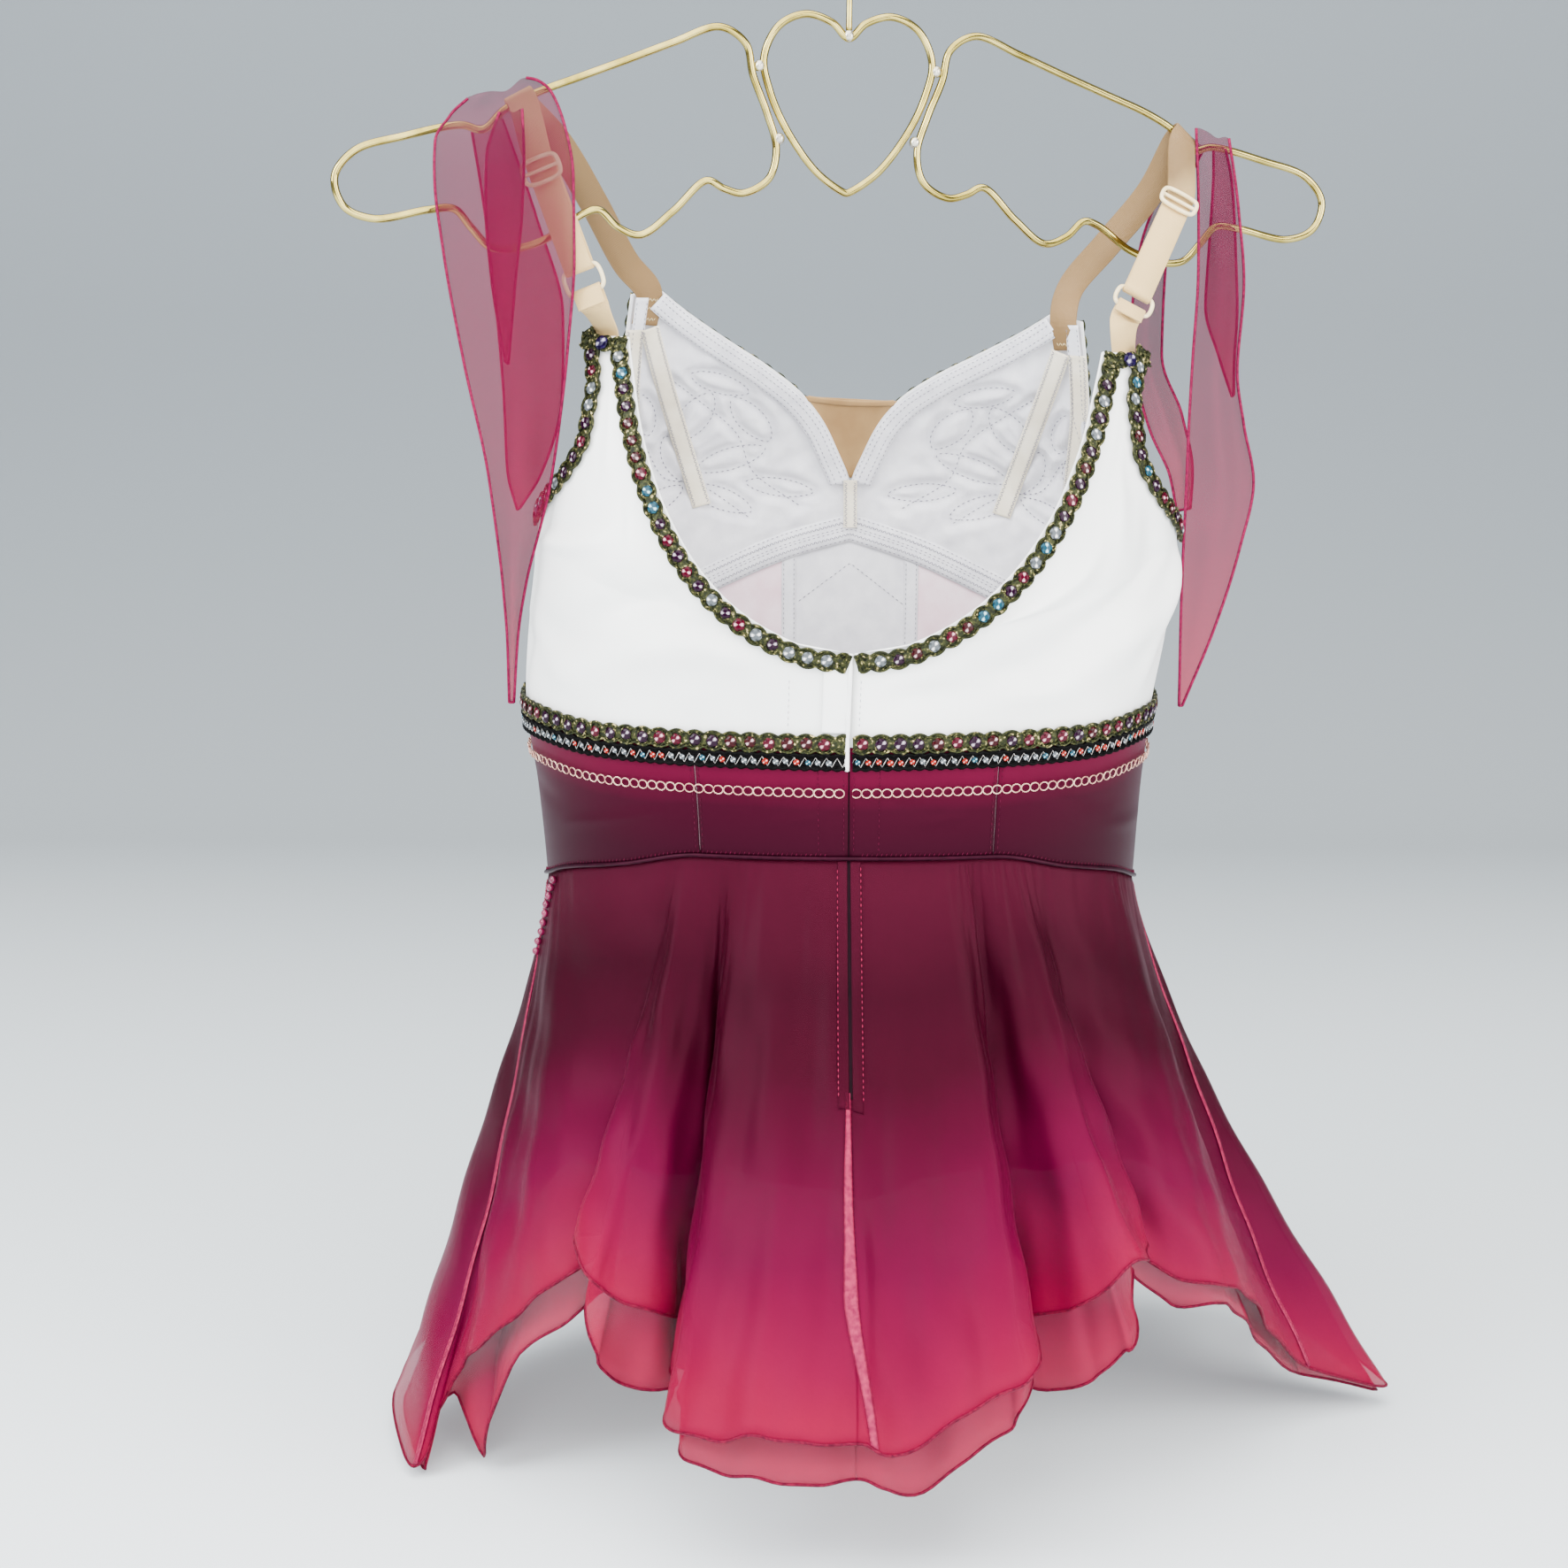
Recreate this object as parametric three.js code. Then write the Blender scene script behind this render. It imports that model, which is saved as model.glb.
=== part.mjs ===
// A ballet dress on a wire hanger, in millimetres.
// +Z is up, +X is to the right seen from behind, and the back of the dress faces -Y.
// The origin is the inside of the hook's crown, where the hanger is held up.
// Angles run round the body from the centre back: 90 is the +X side, 180 the centre front.

import * as THREE from "three";

const CLOTH = 1.2; // wall of the satin and of the lining
const ORGANZA = 1; // wall of the skirt and the drapes
const SEAM = 0.3; // gap between pieces that are sewn together
const SEAM_ANGLE = 0.12; // half that gap at a seam that runs up the body, in degrees
const LIFT = 0.6; // gap under a trim that lies on a panel

const BRAID = 8.3; // width of the gold scalloped braid at the neck and armholes
const BRAID_THICK = 1.5;
const UNDERBUST_BRAID = 8;
const BLACK_BRAID = 6;
const BRAID_ABOVE_SEAM = 5.5;
const CHAIN = 3.4; // height of the ring chain trim
const CHAIN_THICK = 1.2;
const CHAIN_DROP = 16.3; // from the under-bust seam down to the chain's top edge
const PIPING = 2.2;

const STRAP = 12; // width of the elastic straps
const STRAP_THICK = 1;
const RING_WIRE = 0.9; // radius of the strap rings and sliders

const WIRE = 1.6; // radius of the hanger's wire
const HOOK_WIRE = 1.3;
const HANGER_YAW = 12.5; // the hanger is turned to the dress, left end back
const HANGER_ROLL = 0.75; // and its right end hangs lower, in degrees

const CUP = 9; // how far the front swells over each cup
const CUP_ANGLE = 38; // of the cup's middle from the centre front
const CUP_HEIGHT = -285;
const CUP_WIDE = 20; // degrees over which the swell fades
const CUP_TALL = 30;
const SQUARE = 0.035; // how much squarer than an ellipse the body is
const FULL_TILT = 150; // height above the under-bust at which the dress is fully tilted
const TILT_SHIFT = 5.5; // of the back to the right
const DROP_BACK = 0.024; // how much lower its right side hangs, by distance across
const DROP_FRONT = 0.06;

const FLARE = 1.25; // the skirt spreads by this power of the way down
const UNDER_GAP = 2; // between the skirt and its under layer, at the waist

// Half width, depth behind and in front, and how far the sides stand off centre, by height.
const TORSO = [
  { z: -470, half: 122.5, back: 81, front: 74, off: -4 },
  { z: -455, half: 123.3, back: 81, front: 74, off: -4 },
  { z: -412, half: 126.5, back: 84, front: 75, off: -4.5 },
  { z: -378, half: 130.5, back: 86, front: 77, off: -5.3 },
  { z: -340, half: 132.5, back: 85, front: 80, off: -2.5 },
  { z: -298, half: 132, back: 79, front: 80, off: 0 },
  { z: -262, half: 129, back: 67, front: 73, off: 0 },
  { z: -235, half: 124, back: 55, front: 62, off: 0 },
  { z: -205, half: 117, back: 44, front: 50, off: 0 },
];

// The seam under the bust rises to a point at the centre front.
const UNDERBUST = [
  { angle: 0, z: -384 },
  { angle: 45, z: -382.5 },
  { angle: 66, z: -379 },
  { angle: 90, z: -377 },
  { angle: 112, z: -367 },
  { angle: 134, z: -348.5 },
  { angle: 150, z: -334 },
  { angle: 168, z: -316.5 },
  { angle: 180, z: -308 },
];

// The waist seam dips at the sides.
const WAIST = [
  { angle: 0, z: -428.5 },
  { angle: 27, z: -428.8 },
  { angle: 43, z: -435 },
  { angle: 60, z: -440.5 },
  { angle: 75, z: -447 },
  { angle: 90, z: -451 },
  { angle: 120, z: -453.5 },
  { angle: 180, z: -455 },
];

// Half of the back bodice from the under-bust seam up: its neck edge and its armhole edge.
const BACK_PANEL = [
  { inner: 0, innerZ: -384, outer: 90, outerZ: -377 },
  { inner: 0, innerZ: -371, outer: 90, outerZ: -357 },
  { inner: 0, innerZ: -358, outer: 90, outerZ: -337 },
  { inner: 0, innerZ: -347.5, outer: 90, outerZ: -318 },
  { inner: 7, innerZ: -345, outer: 90, outerZ: -300.5 },
  { inner: 14, innerZ: -338.5, outer: 80, outerZ: -295.5 },
  { inner: 20, innerZ: -330, outer: 70, outerZ: -288.5 },
  { inner: 27, innerZ: -315, outer: 62, outerZ: -279 },
  { inner: 33, innerZ: -296, outer: 57.5, outerZ: -266 },
  { inner: 39, innerZ: -271, outer: 57.5, outerZ: -252 },
  { inner: 44, innerZ: -246, outer: 60, outerZ: -240 },
  { inner: 48, innerZ: -228.5, outer: 65, outerZ: -228.5 },
];
const BACK_NECK_ROW = 3; // where the neck edge starts

// Half of the front bodice: its armhole edge and its sweetheart neck edge.
const FRONT_PANEL = [
  { inner: 90, innerZ: -377, outer: 180, outerZ: -308 },
  { inner: 90, innerZ: -357, outer: 180, outerZ: -302 },
  { inner: 90, innerZ: -338, outer: 180, outerZ: -296 },
  { inner: 90, innerZ: -319, outer: 180, outerZ: -289 },
  { inner: 90, innerZ: -300.5, outer: 177.6, outerZ: -275 },
  { inner: 104, innerZ: -294, outer: 174.8, outerZ: -262.5 },
  { inner: 118, innerZ: -284, outer: 170.5, outerZ: -251 },
  { inner: 127, innerZ: -268, outer: 163.5, outerZ: -240 },
  { inner: 129.5, innerZ: -250, outer: 155, outerZ: -230 },
  { inner: 129, innerZ: -232, outer: 145.5, outerZ: -219.5 },
  { inner: 128.5, innerZ: -213, outer: 137.5, outerZ: -210.5 },
];
const FRONT_NECK_ROW = 3;
const ARMHOLE_ROW = 4; // in both tables, the underarm point

// The modesty insert fills the notch of the neckline, half width in degrees.
const INSERT = [
  { z: -281, half: 0.9 },
  { z: -272, half: 2.4 },
  { z: -262.5, half: 4.6 },
  { z: -252, half: 8.5 },
];

// Angles at which every piece round the body has its edges, so that neighbours share them.
const BACK_STATIONS = [0, 9, 18, 27, 38, 48, 58, 69, 80, 90];
const FRONT_STATIONS = [90, 101, 112, 123, 134, 145, 156, 168, 180];
const PRINCESS_BACK = 27;
const PRINCESS_FRONT = 168;

// The hem of the skirt, a row for each fold edge: where it leaves the waist, where it ends, how
// much lower the under layer ends there and how far that lies inside the outer one.
const FOLDS = [
  { waist: 0, x: 4, y: -190, z: -628, under: 13, inset: 6 },
  { waist: 5, x: 15, y: -191, z: -631, under: 12, inset: 6 },
  { waist: 10, x: 32, y: -187, z: -625, under: 19, inset: 7 },
  { waist: 15, x: 51, y: -178, z: -617, under: 17, inset: 7 },
  { waist: 19.5, x: 70, y: -166, z: -609, under: 15, inset: 5 },
  { waist: 21.5, x: 74, y: -138, z: -606, under: 16, inset: 4 },
  { waist: 23, x: 64, y: -112, z: -606, under: 24, inset: 4 },
  { waist: 25.5, x: 78, y: -120, z: -602, under: 33, inset: 6 },
  { waist: 28.5, x: 95, y: -131, z: -594, under: 33, inset: 12 },
  { waist: 31.5, x: 113, y: -127, z: -578, under: 36, inset: 9 },
  { waist: 34, x: 121, y: -106, z: -580, under: 26, inset: 5 },
  { waist: 38, x: 115, y: -88, z: -586, under: 12, inset: 4 },
  { waist: 46, x: 132, y: -91, z: -597, under: 12, inset: 5 },
  { waist: 58, x: 152, y: -84, z: -605, under: 7, inset: 5 },
  { waist: 68, x: 165, y: -72, z: -613, under: 5, inset: 5 },
  { waist: 77, x: 177, y: -50, z: -635, under: 4, inset: 5 },
  { waist: 86, x: 200, y: -26, z: -663, under: 2, inset: 5 },
  { waist: 90, x: 236, y: -2, z: -679, under: 0, inset: 5 },
  { waist: 95, x: 207, y: 26, z: -655, under: 2, inset: 5 },
  { waist: 103, x: 202, y: 58, z: -650, under: 2, inset: 5 },
  { waist: 110, x: 224, y: 90, z: -668, under: 0, inset: 6 },
  { waist: 117, x: 190, y: 95, z: -630, under: 8, inset: 5 },
  { waist: 124, x: 160, y: 84, z: -602, under: 14, inset: 4 },
  { waist: 131, x: 152, y: 112, z: -592, under: 22, inset: 6 },
  { waist: 137, x: 132, y: 134, z: -584, under: 30, inset: 9 },
  { waist: 142, x: 112, y: 138, z: -588, under: 30, inset: 7 },
  { waist: 147, x: 98, y: 114, z: -596, under: 22, inset: 4 },
  { waist: 152, x: 84, y: 128, z: -604, under: 16, inset: 5 },
  { waist: 158, x: 74, y: 156, z: -612, under: 14, inset: 5 },
  { waist: 165, x: 50, y: 173, z: -620, under: 16, inset: 7 },
  { waist: 173, x: 23, y: 180, z: -628, under: 18, inset: 7 },
  { waist: 180, x: 0, y: 182, z: -632, under: 18, inset: 7 },
  { waist: 188, x: -26, y: 179, z: -627, under: 18, inset: 7 },
  { waist: 196, x: -52, y: 170, z: -618, under: 16, inset: 7 },
  { waist: 202, x: -74, y: 150, z: -612, under: 14, inset: 5 },
  { waist: 208, x: -82, y: 122, z: -604, under: 18, inset: 4 },
  { waist: 214, x: -98, y: 114, z: -594, under: 26, inset: 5 },
  { waist: 220, x: -118, y: 132, z: -586, under: 30, inset: 9 },
  { waist: 227, x: -138, y: 122, z: -592, under: 22, inset: 7 },
  { waist: 234, x: -144, y: 96, z: -602, under: 14, inset: 4 },
  { waist: 242, x: -154, y: 74, z: -620, under: 8, inset: 5 },
  { waist: 251, x: -170, y: 48, z: -645, under: 4, inset: 5 },
  { waist: 260, x: -188, y: 8, z: -666, under: 0, inset: 5 },
  { waist: 267, x: -197, y: -30, z: -673, under: 0, inset: 5 },
  { waist: 272, x: -176, y: -88, z: -684, under: 0, inset: 7 },
  { waist: 277, x: -164, y: -74, z: -650, under: 8, inset: 6 },
  { waist: 283, x: -149, y: -82, z: -634, under: 46, inset: -3 },
  { waist: 291, x: -134, y: -93, z: -616, under: 16, inset: 2 },
  { waist: 302, x: -113, y: -98, z: -598, under: 18, inset: 5 },
  { waist: 325, x: -97, y: -90, z: -584, under: 20, inset: 3 },
  { waist: 328.5, x: -107, y: -112, z: -578, under: 28, inset: 3 },
  { waist: 331, x: -97, y: -133, z: -587, under: 32, inset: 7 },
  { waist: 333.5, x: -80, y: -131, z: -599, under: 34, inset: 8 },
  { waist: 335.5, x: -64, y: -116, z: -608, under: 28, inset: 4 },
  { waist: 337.5, x: -58, y: -100, z: -612, under: 22, inset: 10 },
  { waist: 339.5, x: -70, y: -130, z: -622, under: 14, inset: 4 },
  { waist: 341.5, x: -68, y: -163, z: -630, under: 10, inset: 5 },
  { waist: 346, x: -50, y: -181, z: -630, under: 12, inset: 7 },
  { waist: 351, x: -30, y: -189, z: -626, under: 16, inset: 6 },
  { waist: 356, x: -10, y: -191, z: -626, under: 15, inset: 6 },
];
const RIGHT_SEAM_ROW = 16;
const FRONT_SEAM_ROW = 31;
const LEFT_SEAM_ROW = 44;

// One wing of the hanger, from its weld at the heart out along the top and back underneath.
const WING = [
  { u: 39.5, z: -121 },
  { u: 42.5, z: -109 },
  { u: 53, z: -102.8 },
  { u: 72, z: -109.5 },
  { u: 91, z: -117 },
  { u: 110, z: -124.3 },
  { u: 128, z: -131.3 },
  { u: 140, z: -138 },
  { u: 148.5, z: -145.8 },
  { u: 157, z: -144.3 },
  { u: 180, z: -149.3 },
  { u: 199, z: -155.3 },
  { u: 207, z: -165.5 },
  { u: 203.5, z: -177 },
  { u: 192, z: -181.5 },
  { u: 170, z: -177.5 },
  { u: 160, z: -177 },
  { u: 153.5, z: -184 },
  { u: 146, z: -191.5 },
  { u: 137, z: -192.3 },
  { u: 122.5, z: -187.5 },
  { u: 108, z: -177.5 },
  { u: 102, z: -176 },
  { u: 94.5, z: -182.5 },
  { u: 85, z: -185.5 },
  { u: 72, z: -176 },
  { u: 58, z: -163.3 },
  { u: 51, z: -166.3 },
  { u: 43, z: -168 },
  { u: 32.5, z: -162 },
  { u: 29.5, z: -150 },
  { u: 33.5, z: -136 },
];

// Half of the heart, from the notch round to the point.
const HEART = [
  { u: 0, z: -105.5 },
  { u: 7, z: -99.5 },
  { u: 18, z: -96.5 },
  { u: 29, z: -101.5 },
  { u: 35, z: -114 },
  { u: 32.5, z: -127 },
  { u: 25.5, z: -142 },
  { u: 13, z: -158.5 },
  { u: 2, z: -166.3 },
  { u: 0, z: -167 },
];

// The hook, from the notch up and round the crown to its tip.
const HOOK = [
  { u: 0, z: -102.2 },
  { u: 0, z: -76 },
  { u: 0, z: -52 },
  { u: 5, z: -40 },
  { u: 14, z: -29 },
  { u: 18, z: -16.7 },
  { u: 12.7, z: -4 },
  { u: 0, z: 1.3 },
  { u: -12.7, z: -4 },
  { u: -18, z: -16.7 },
  { u: -16.5, z: -25 },
];

// Where each strap crosses its wire, and where its slider and ring hang.
const STRAPS = {
  left: {
    wireRow: 6.45,
    slider: [-122.5, -38, -160],
    ring: [-106.5, -41, -203],
    rise: [
      [-95.5, 27, -194],
      [-106.5, 8, -171],
      [-119.5, -15, -147],
    ],
    turn: -8,
  },
  right: {
    wireRow: 7.42,
    slider: [135.5, 20, -171],
    ring: [114, -24, -211],
    rise: [
      [94, 42, -204],
      [109, 42, -186],
      [127, 41, -164],
    ],
    turn: 24,
  },
};
const RING_WIDTH = 17.5;
const RING_HEIGHT = 10;
const SLIDER_HEIGHT = 8.5;
const STRAP_ANGLE = 47; // of the sewn front end from the centre front
const TAB_ANGLE = 56.5; // of the sewn back end from the centre back

// The back half of each drape falls in a leaf: its two edges and how far it hangs in front of
// the hanger's plane, from the tip up. The ply is the second layer that is folded behind it, and
// the front half falls behind the wire.
const DRAPES = {
  left: {
    back: [
      { left: -141.5, leftZ: -375, right: -139.5, rightZ: -375, out: -7, bow: 0 },
      { left: -141.5, leftZ: -352, right: -137, rightZ: -346, out: -5, bow: 1 },
      { left: -142.5, leftZ: -325, right: -133, rightZ: -325, out: -1, bow: 3 },
      { left: -145.5, leftZ: -282, right: -121, rightZ: -282, out: 11, bow: 5 },
      { left: -153.5, leftZ: -235, right: -113, rightZ: -230, out: 18, bow: 6 },
      { left: -159.5, leftZ: -195, right: -109.5, rightZ: -193, out: 22, bow: 5 },
      { left: -162.5, leftZ: -168, right: -109.5, rightZ: -164, out: 22, bow: 4 },
      { left: -163, leftZ: -150, right: -113, rightZ: -144, out: 16, bow: 2 },
      { left: -159, leftZ: -139.5, right: -123, rightZ: -125, out: 3.8, bow: 0 },
    ],
    ply: [
      { left: -147, leftZ: -238, right: -142, rightZ: -240, out: 12, bow: 0 },
      { left: -150, leftZ: -207, right: -139, rightZ: -207, out: 16, bow: 1 },
      { left: -151.5, leftZ: -177, right: -135, rightZ: -176, out: 17, bow: 1 },
      { left: -151, leftZ: -158, right: -134, rightZ: -156, out: 16, bow: 0 },
      { left: -148, leftZ: -145, right: -136, rightZ: -143, out: 11, bow: 0 },
    ],
    front: [
      { left: -144, leftZ: -297, right: -139, rightZ: -297, out: -39, bow: 0 },
      { left: -145, leftZ: -280, right: -132, rightZ: -284, out: -41, bow: 2 },
      { left: -146, leftZ: -250, right: -122, rightZ: -250, out: -42, bow: 4 },
      { left: -148, leftZ: -215, right: -121, rightZ: -215, out: -40, bow: 4 },
      { left: -150, leftZ: -175, right: -129, rightZ: -178, out: -24, bow: 2 },
      { left: -152, leftZ: -143, right: -139.5, rightZ: -140, out: -4, bow: 0 },
    ],
  },
  right: {
    back: [
      { left: 139.5, leftZ: -379, right: 141, rightZ: -379, out: 29, bow: 0 },
      { left: 139.5, leftZ: -350, right: 154, rightZ: -347, out: 28, bow: 1 },
      { left: 140.5, leftZ: -318, right: 165, rightZ: -314, out: 22, bow: 2 },
      { left: 142, leftZ: -295, right: 171.5, rightZ: -286, out: 15, bow: 4 },
      { left: 143, leftZ: -261, right: 167, rightZ: -262, out: 12, bow: 5 },
      { left: 144.5, leftZ: -232, right: 164, rightZ: -238, out: 8, bow: 4 },
      { left: 146, leftZ: -200, right: 166, rightZ: -204, out: 7, bow: 3 },
      { left: 147, leftZ: -172, right: 163, rightZ: -174, out: 6, bow: 2 },
      { left: 150, leftZ: -141.5, right: 158, rightZ: -143.5, out: 3.8, bow: 0 },
    ],
    ply: [
      { left: 158, leftZ: -262, right: 164, rightZ: -260, out: 5, bow: 0 },
      { left: 154, leftZ: -235, right: 163, rightZ: -238, out: 0, bow: 0 },
      { left: 151, leftZ: -205, right: 165, rightZ: -206, out: -4, bow: 0 },
      { left: 150, leftZ: -178, right: 163, rightZ: -180, out: -5, bow: 0 },
      { left: 149, leftZ: -160, right: 159, rightZ: -160, out: -5, bow: 0 },
    ],
    front: [
      { left: 139, leftZ: -298, right: 145, rightZ: -297, out: 9, bow: 0 },
      { left: 136, leftZ: -283, right: 146, rightZ: -280, out: 5, bow: 1 },
      { left: 128, leftZ: -262, right: 143, rightZ: -258, out: -12, bow: 3 },
      { left: 121, leftZ: -225, right: 135, rightZ: -232, out: -25, bow: 4 },
      { left: 124, leftZ: -190, right: 136, rightZ: -195, out: -27, bow: 2 },
      { left: 133, leftZ: -162, right: 144, rightZ: -160, out: -19, bow: 0 },
      { left: 143, leftZ: -142, right: 149, rightZ: -146, out: -5, bow: 0 },
    ],
  },
};

const radians = (degrees) => (degrees * Math.PI) / 180;
const mix = (a, b, t) => a + (b - a) * t;
const vector = (x, y, z) => new THREE.Vector3(x, y, z);

// A smooth line through one column of a table that never overshoots its rows.
function follow(rows, key, column) {
  const at = rows.map((row, i) => (key === null ? i : row[key]));
  const value = rows.map((row) => row[column]);
  const rise = value.slice(1).map((v, i) => (v - value[i]) / (at[i + 1] - at[i]));
  const slope = value.map((_, i) => {
    if (i === 0) return rise[0];
    if (i === value.length - 1) return rise[i - 1];
    if (rise[i - 1] * rise[i] <= 0) return 0;
    return (2 * rise[i - 1] * rise[i]) / (rise[i - 1] + rise[i]);
  });
  return (place) => {
    const x = Math.min(Math.max(place, at[0]), at[at.length - 1]);
    let i = at.findIndex((a) => a > x) - 1;
    if (i < 0) i = at.length - 2;
    const width = at[i + 1] - at[i];
    const t = (x - at[i]) / width;
    const ease = t * t * (3 - 2 * t);
    const start = t * (1 - t) * (1 - t) * width * slope[i];
    const end = t * t * (t - 1) * width * slope[i + 1];
    return mix(value[i], value[i + 1], ease) + start + end;
  };
}

// The mirrored side of the body has the same seams.
const fold180 = (angle) => Math.abs(((angle + 180) % 360 + 360) % 360 - 180);

// A seam line that is straight between the stations, so that both pieces share its chords.
const STATIONS = [...BACK_STATIONS, ...FRONT_STATIONS.slice(1)];
function seamLine(rows) {
  const line = follow(rows, "angle", "z");
  const heights = STATIONS.map(line);
  return (given) => {
    const angle = fold180(given);
    const i = Math.max(1, STATIONS.findIndex((s) => s >= angle - 1e-9));
    const t = (angle - STATIONS[i - 1]) / (STATIONS[i] - STATIONS[i - 1]);
    return mix(heights[i - 1], heights[i], t);
  };
}
const underbust = seamLine(UNDERBUST);
const waist = seamLine(WAIST);
const bodyColumn = Object.fromEntries(
  ["half", "back", "front", "off"].map((name) => [name, follow(TORSO, "z", name)]),
);

// A point of the body's surface: a squared ellipse with a swell for each cup, tilted as it hangs.
function skin(angle, height) {
  const turn = radians(angle);
  const square = 1 + SQUARE * Math.sin(2 * turn) ** 2;
  const fromFront = 180 - fold180(angle);
  const aside = (fromFront - CUP_ANGLE) / CUP_WIDE;
  const above = (height - CUP_HEIGHT) / CUP_TALL;
  const cup = CUP * Math.exp(-(aside ** 2) - above ** 2);
  const behind = Math.cos(turn) > 0;
  const depth = behind ? bodyColumn.back(height) : bodyColumn.front(height) + cup;
  const lean = bodyColumn.off(height) * Math.sin(turn) ** 2;
  const x = lean + bodyColumn.half(height) * Math.sin(turn) * square;
  const tilt = Math.max(0, height - UNDERBUST[0].z) / FULL_TILT;
  const shift = TILT_SHIFT * (1 + Math.min(0, Math.cos(turn)));
  const drop = mix(DROP_BACK, DROP_FRONT, (1 - Math.cos(turn)) / 2);
  return vector(
    x + shift * tilt,
    -depth * Math.cos(turn) * square,
    height - drop * tilt * x,
  );
}

// A surface of two parameters, moved out along its own normal; a wide step rounds its corners.
function offset(surface, wide = 0.002) {
  const step = 0.002;
  return (u, v, out) => {
    const across = surface(u + wide, v).sub(surface(u - wide, v));
    const up = surface(u, v + step).sub(surface(u, v - step));
    return surface(u, v).add(across.cross(up).normalize().multiplyScalar(out));
  };
}
const bodyOffset = offset((u, v) => skin(u * 100, v * 100));
const torso = (angle, height, out) => bodyOffset(angle / 100, height / 100, out);
const onBody = (area) => (u, v, out) => torso(...area(u, v), out);
const mirrored = (area) => (u, v) => {
  const [angle, height] = area(1 - u, v);
  return [-angle, height];
};

function geometryOf(points, faces) {
  const geometry = new THREE.BufferGeometry();
  geometry.setAttribute(
    "position",
    new THREE.Float32BufferAttribute(points.flatMap((p) => [p.x, p.y, p.z]), 3),
  );
  geometry.setIndex(faces);
  geometry.computeVertexNormals();
  return geometry;
}

// A closed wall between two offsets of a surface, with the shorter diagonal across each cell.
function wall(place, us, vs, low, high) {
  const rows = vs.length;
  const count = us.length * rows;
  const points = [];
  for (const side of [high, low])
    for (const u of us) for (const v of vs) points.push(place(u, v, side));
  const faces = [];
  const quad = (a, b, c, d) => faces.push(a, b, c, a, c, d);
  const at = (i, j) => i * rows + j;
  for (let i = 0; i < us.length - 1; i++) {
    for (let j = 0; j < rows - 1; j++) {
      let [a, b, c, d] = [at(i, j), at(i + 1, j), at(i + 1, j + 1), at(i, j + 1)];
      if (points[a].distanceTo(points[c]) > points[b].distanceTo(points[d]))
        [a, b, c, d] = [b, c, d, a];
      quad(a, b, c, d);
      quad(a + count, d + count, c + count, b + count);
    }
    quad(at(i, 0) + count, at(i + 1, 0) + count, at(i + 1, 0), at(i, 0));
    const top = rows - 1;
    quad(at(i, top), at(i + 1, top), at(i + 1, top) + count, at(i, top) + count);
  }
  const last = us.length - 1;
  for (let j = 0; j < rows - 1; j++) {
    quad(at(0, j), at(0, j + 1), at(0, j + 1) + count, at(0, j) + count);
    quad(at(last, j + 1), at(last, j), at(last, j) + count, at(last, j + 1) + count);
  }
  return geometryOf(points, faces);
}

// A band right round the body, closed on itself, between two heights that follow the angle.
function hoop(bottom, top, low, high, angles) {
  const corners = [
    [bottom, high],
    [top, high],
    [top, low],
    [bottom, low],
  ];
  const points = angles.flatMap((angle) =>
    corners.map(([edge, out]) => torso(angle, edge(angle), out)),
  );
  const faces = [];
  const n = corners.length;
  angles.forEach((_, i) => {
    const next = (i + 1) % angles.length;
    corners.forEach((_, k) => {
      const l = (k + 1) % n;
      faces.push(i * n + k, next * n + k, next * n + l, i * n + k, next * n + l, i * n + l);
    });
  });
  return geometryOf(points, faces);
}

// A body swept along a path: each ring is turned with the path, and open ends are capped.
function sweep(rings, closed) {
  const n = rings[0].length;
  const points = rings.flat();
  const faces = [];
  const last = rings.length - (closed ? 0 : 1);
  for (let i = 0; i < last; i++) {
    const a = i * n;
    const b = ((i + 1) % rings.length) * n;
    for (let k = 0; k < n; k++) {
      const l = (k + 1) % n;
      faces.push(a + k, a + l, b + l, a + k, b + l, b + k);
    }
  }
  if (!closed)
    for (let k = 1; k < n - 1; k++) {
      const end = (rings.length - 1) * n;
      faces.push(0, k + 1, k, end, end + k, end + k + 1);
    }
  return geometryOf(points, faces);
}

// Round wire along a curve that stays near one plane, whose normal is given.
function wireAlong(curve, steps, radius, normal, closed) {
  const sides = 6;
  const rings = [];
  for (let i = 0; i < steps + (closed ? 0 : 1); i++) {
    const middle = curve.getPointAt(i / steps);
    const tangent = curve.getTangentAt(i / steps);
    const across = normal.clone().cross(tangent).normalize();
    const up = tangent.clone().cross(across);
    rings.push(
      Array.from({ length: sides }, (_, k) => {
        const turn = (k / sides) * 2 * Math.PI;
        return middle
          .clone()
          .addScaledVector(across, radius * Math.cos(turn))
          .addScaledVector(up, radius * Math.sin(turn));
      }),
    );
  }
  return sweep(rings, closed);
}

// Flat webbing along points, each with the direction of the webbing's width.
function webbing(stops, width, thick) {
  const rings = stops.map(({ at, side }, i) => {
    const before = stops[Math.max(0, i - 1)].at;
    const after = stops[Math.min(stops.length - 1, i + 1)].at;
    const tangent = after.clone().sub(before).normalize();
    const across = side.clone().addScaledVector(tangent, -side.dot(tangent)).normalize();
    const out = tangent.clone().cross(across);
    const corner = (a, b) =>
      at
        .clone()
        .addScaledVector(across, (a * width) / 2)
        .addScaledVector(out, (b * thick) / 2);
    return [corner(-1, -1), corner(1, -1), corner(1, 1), corner(-1, 1)];
  });
  return sweep(rings, false);
}

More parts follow.
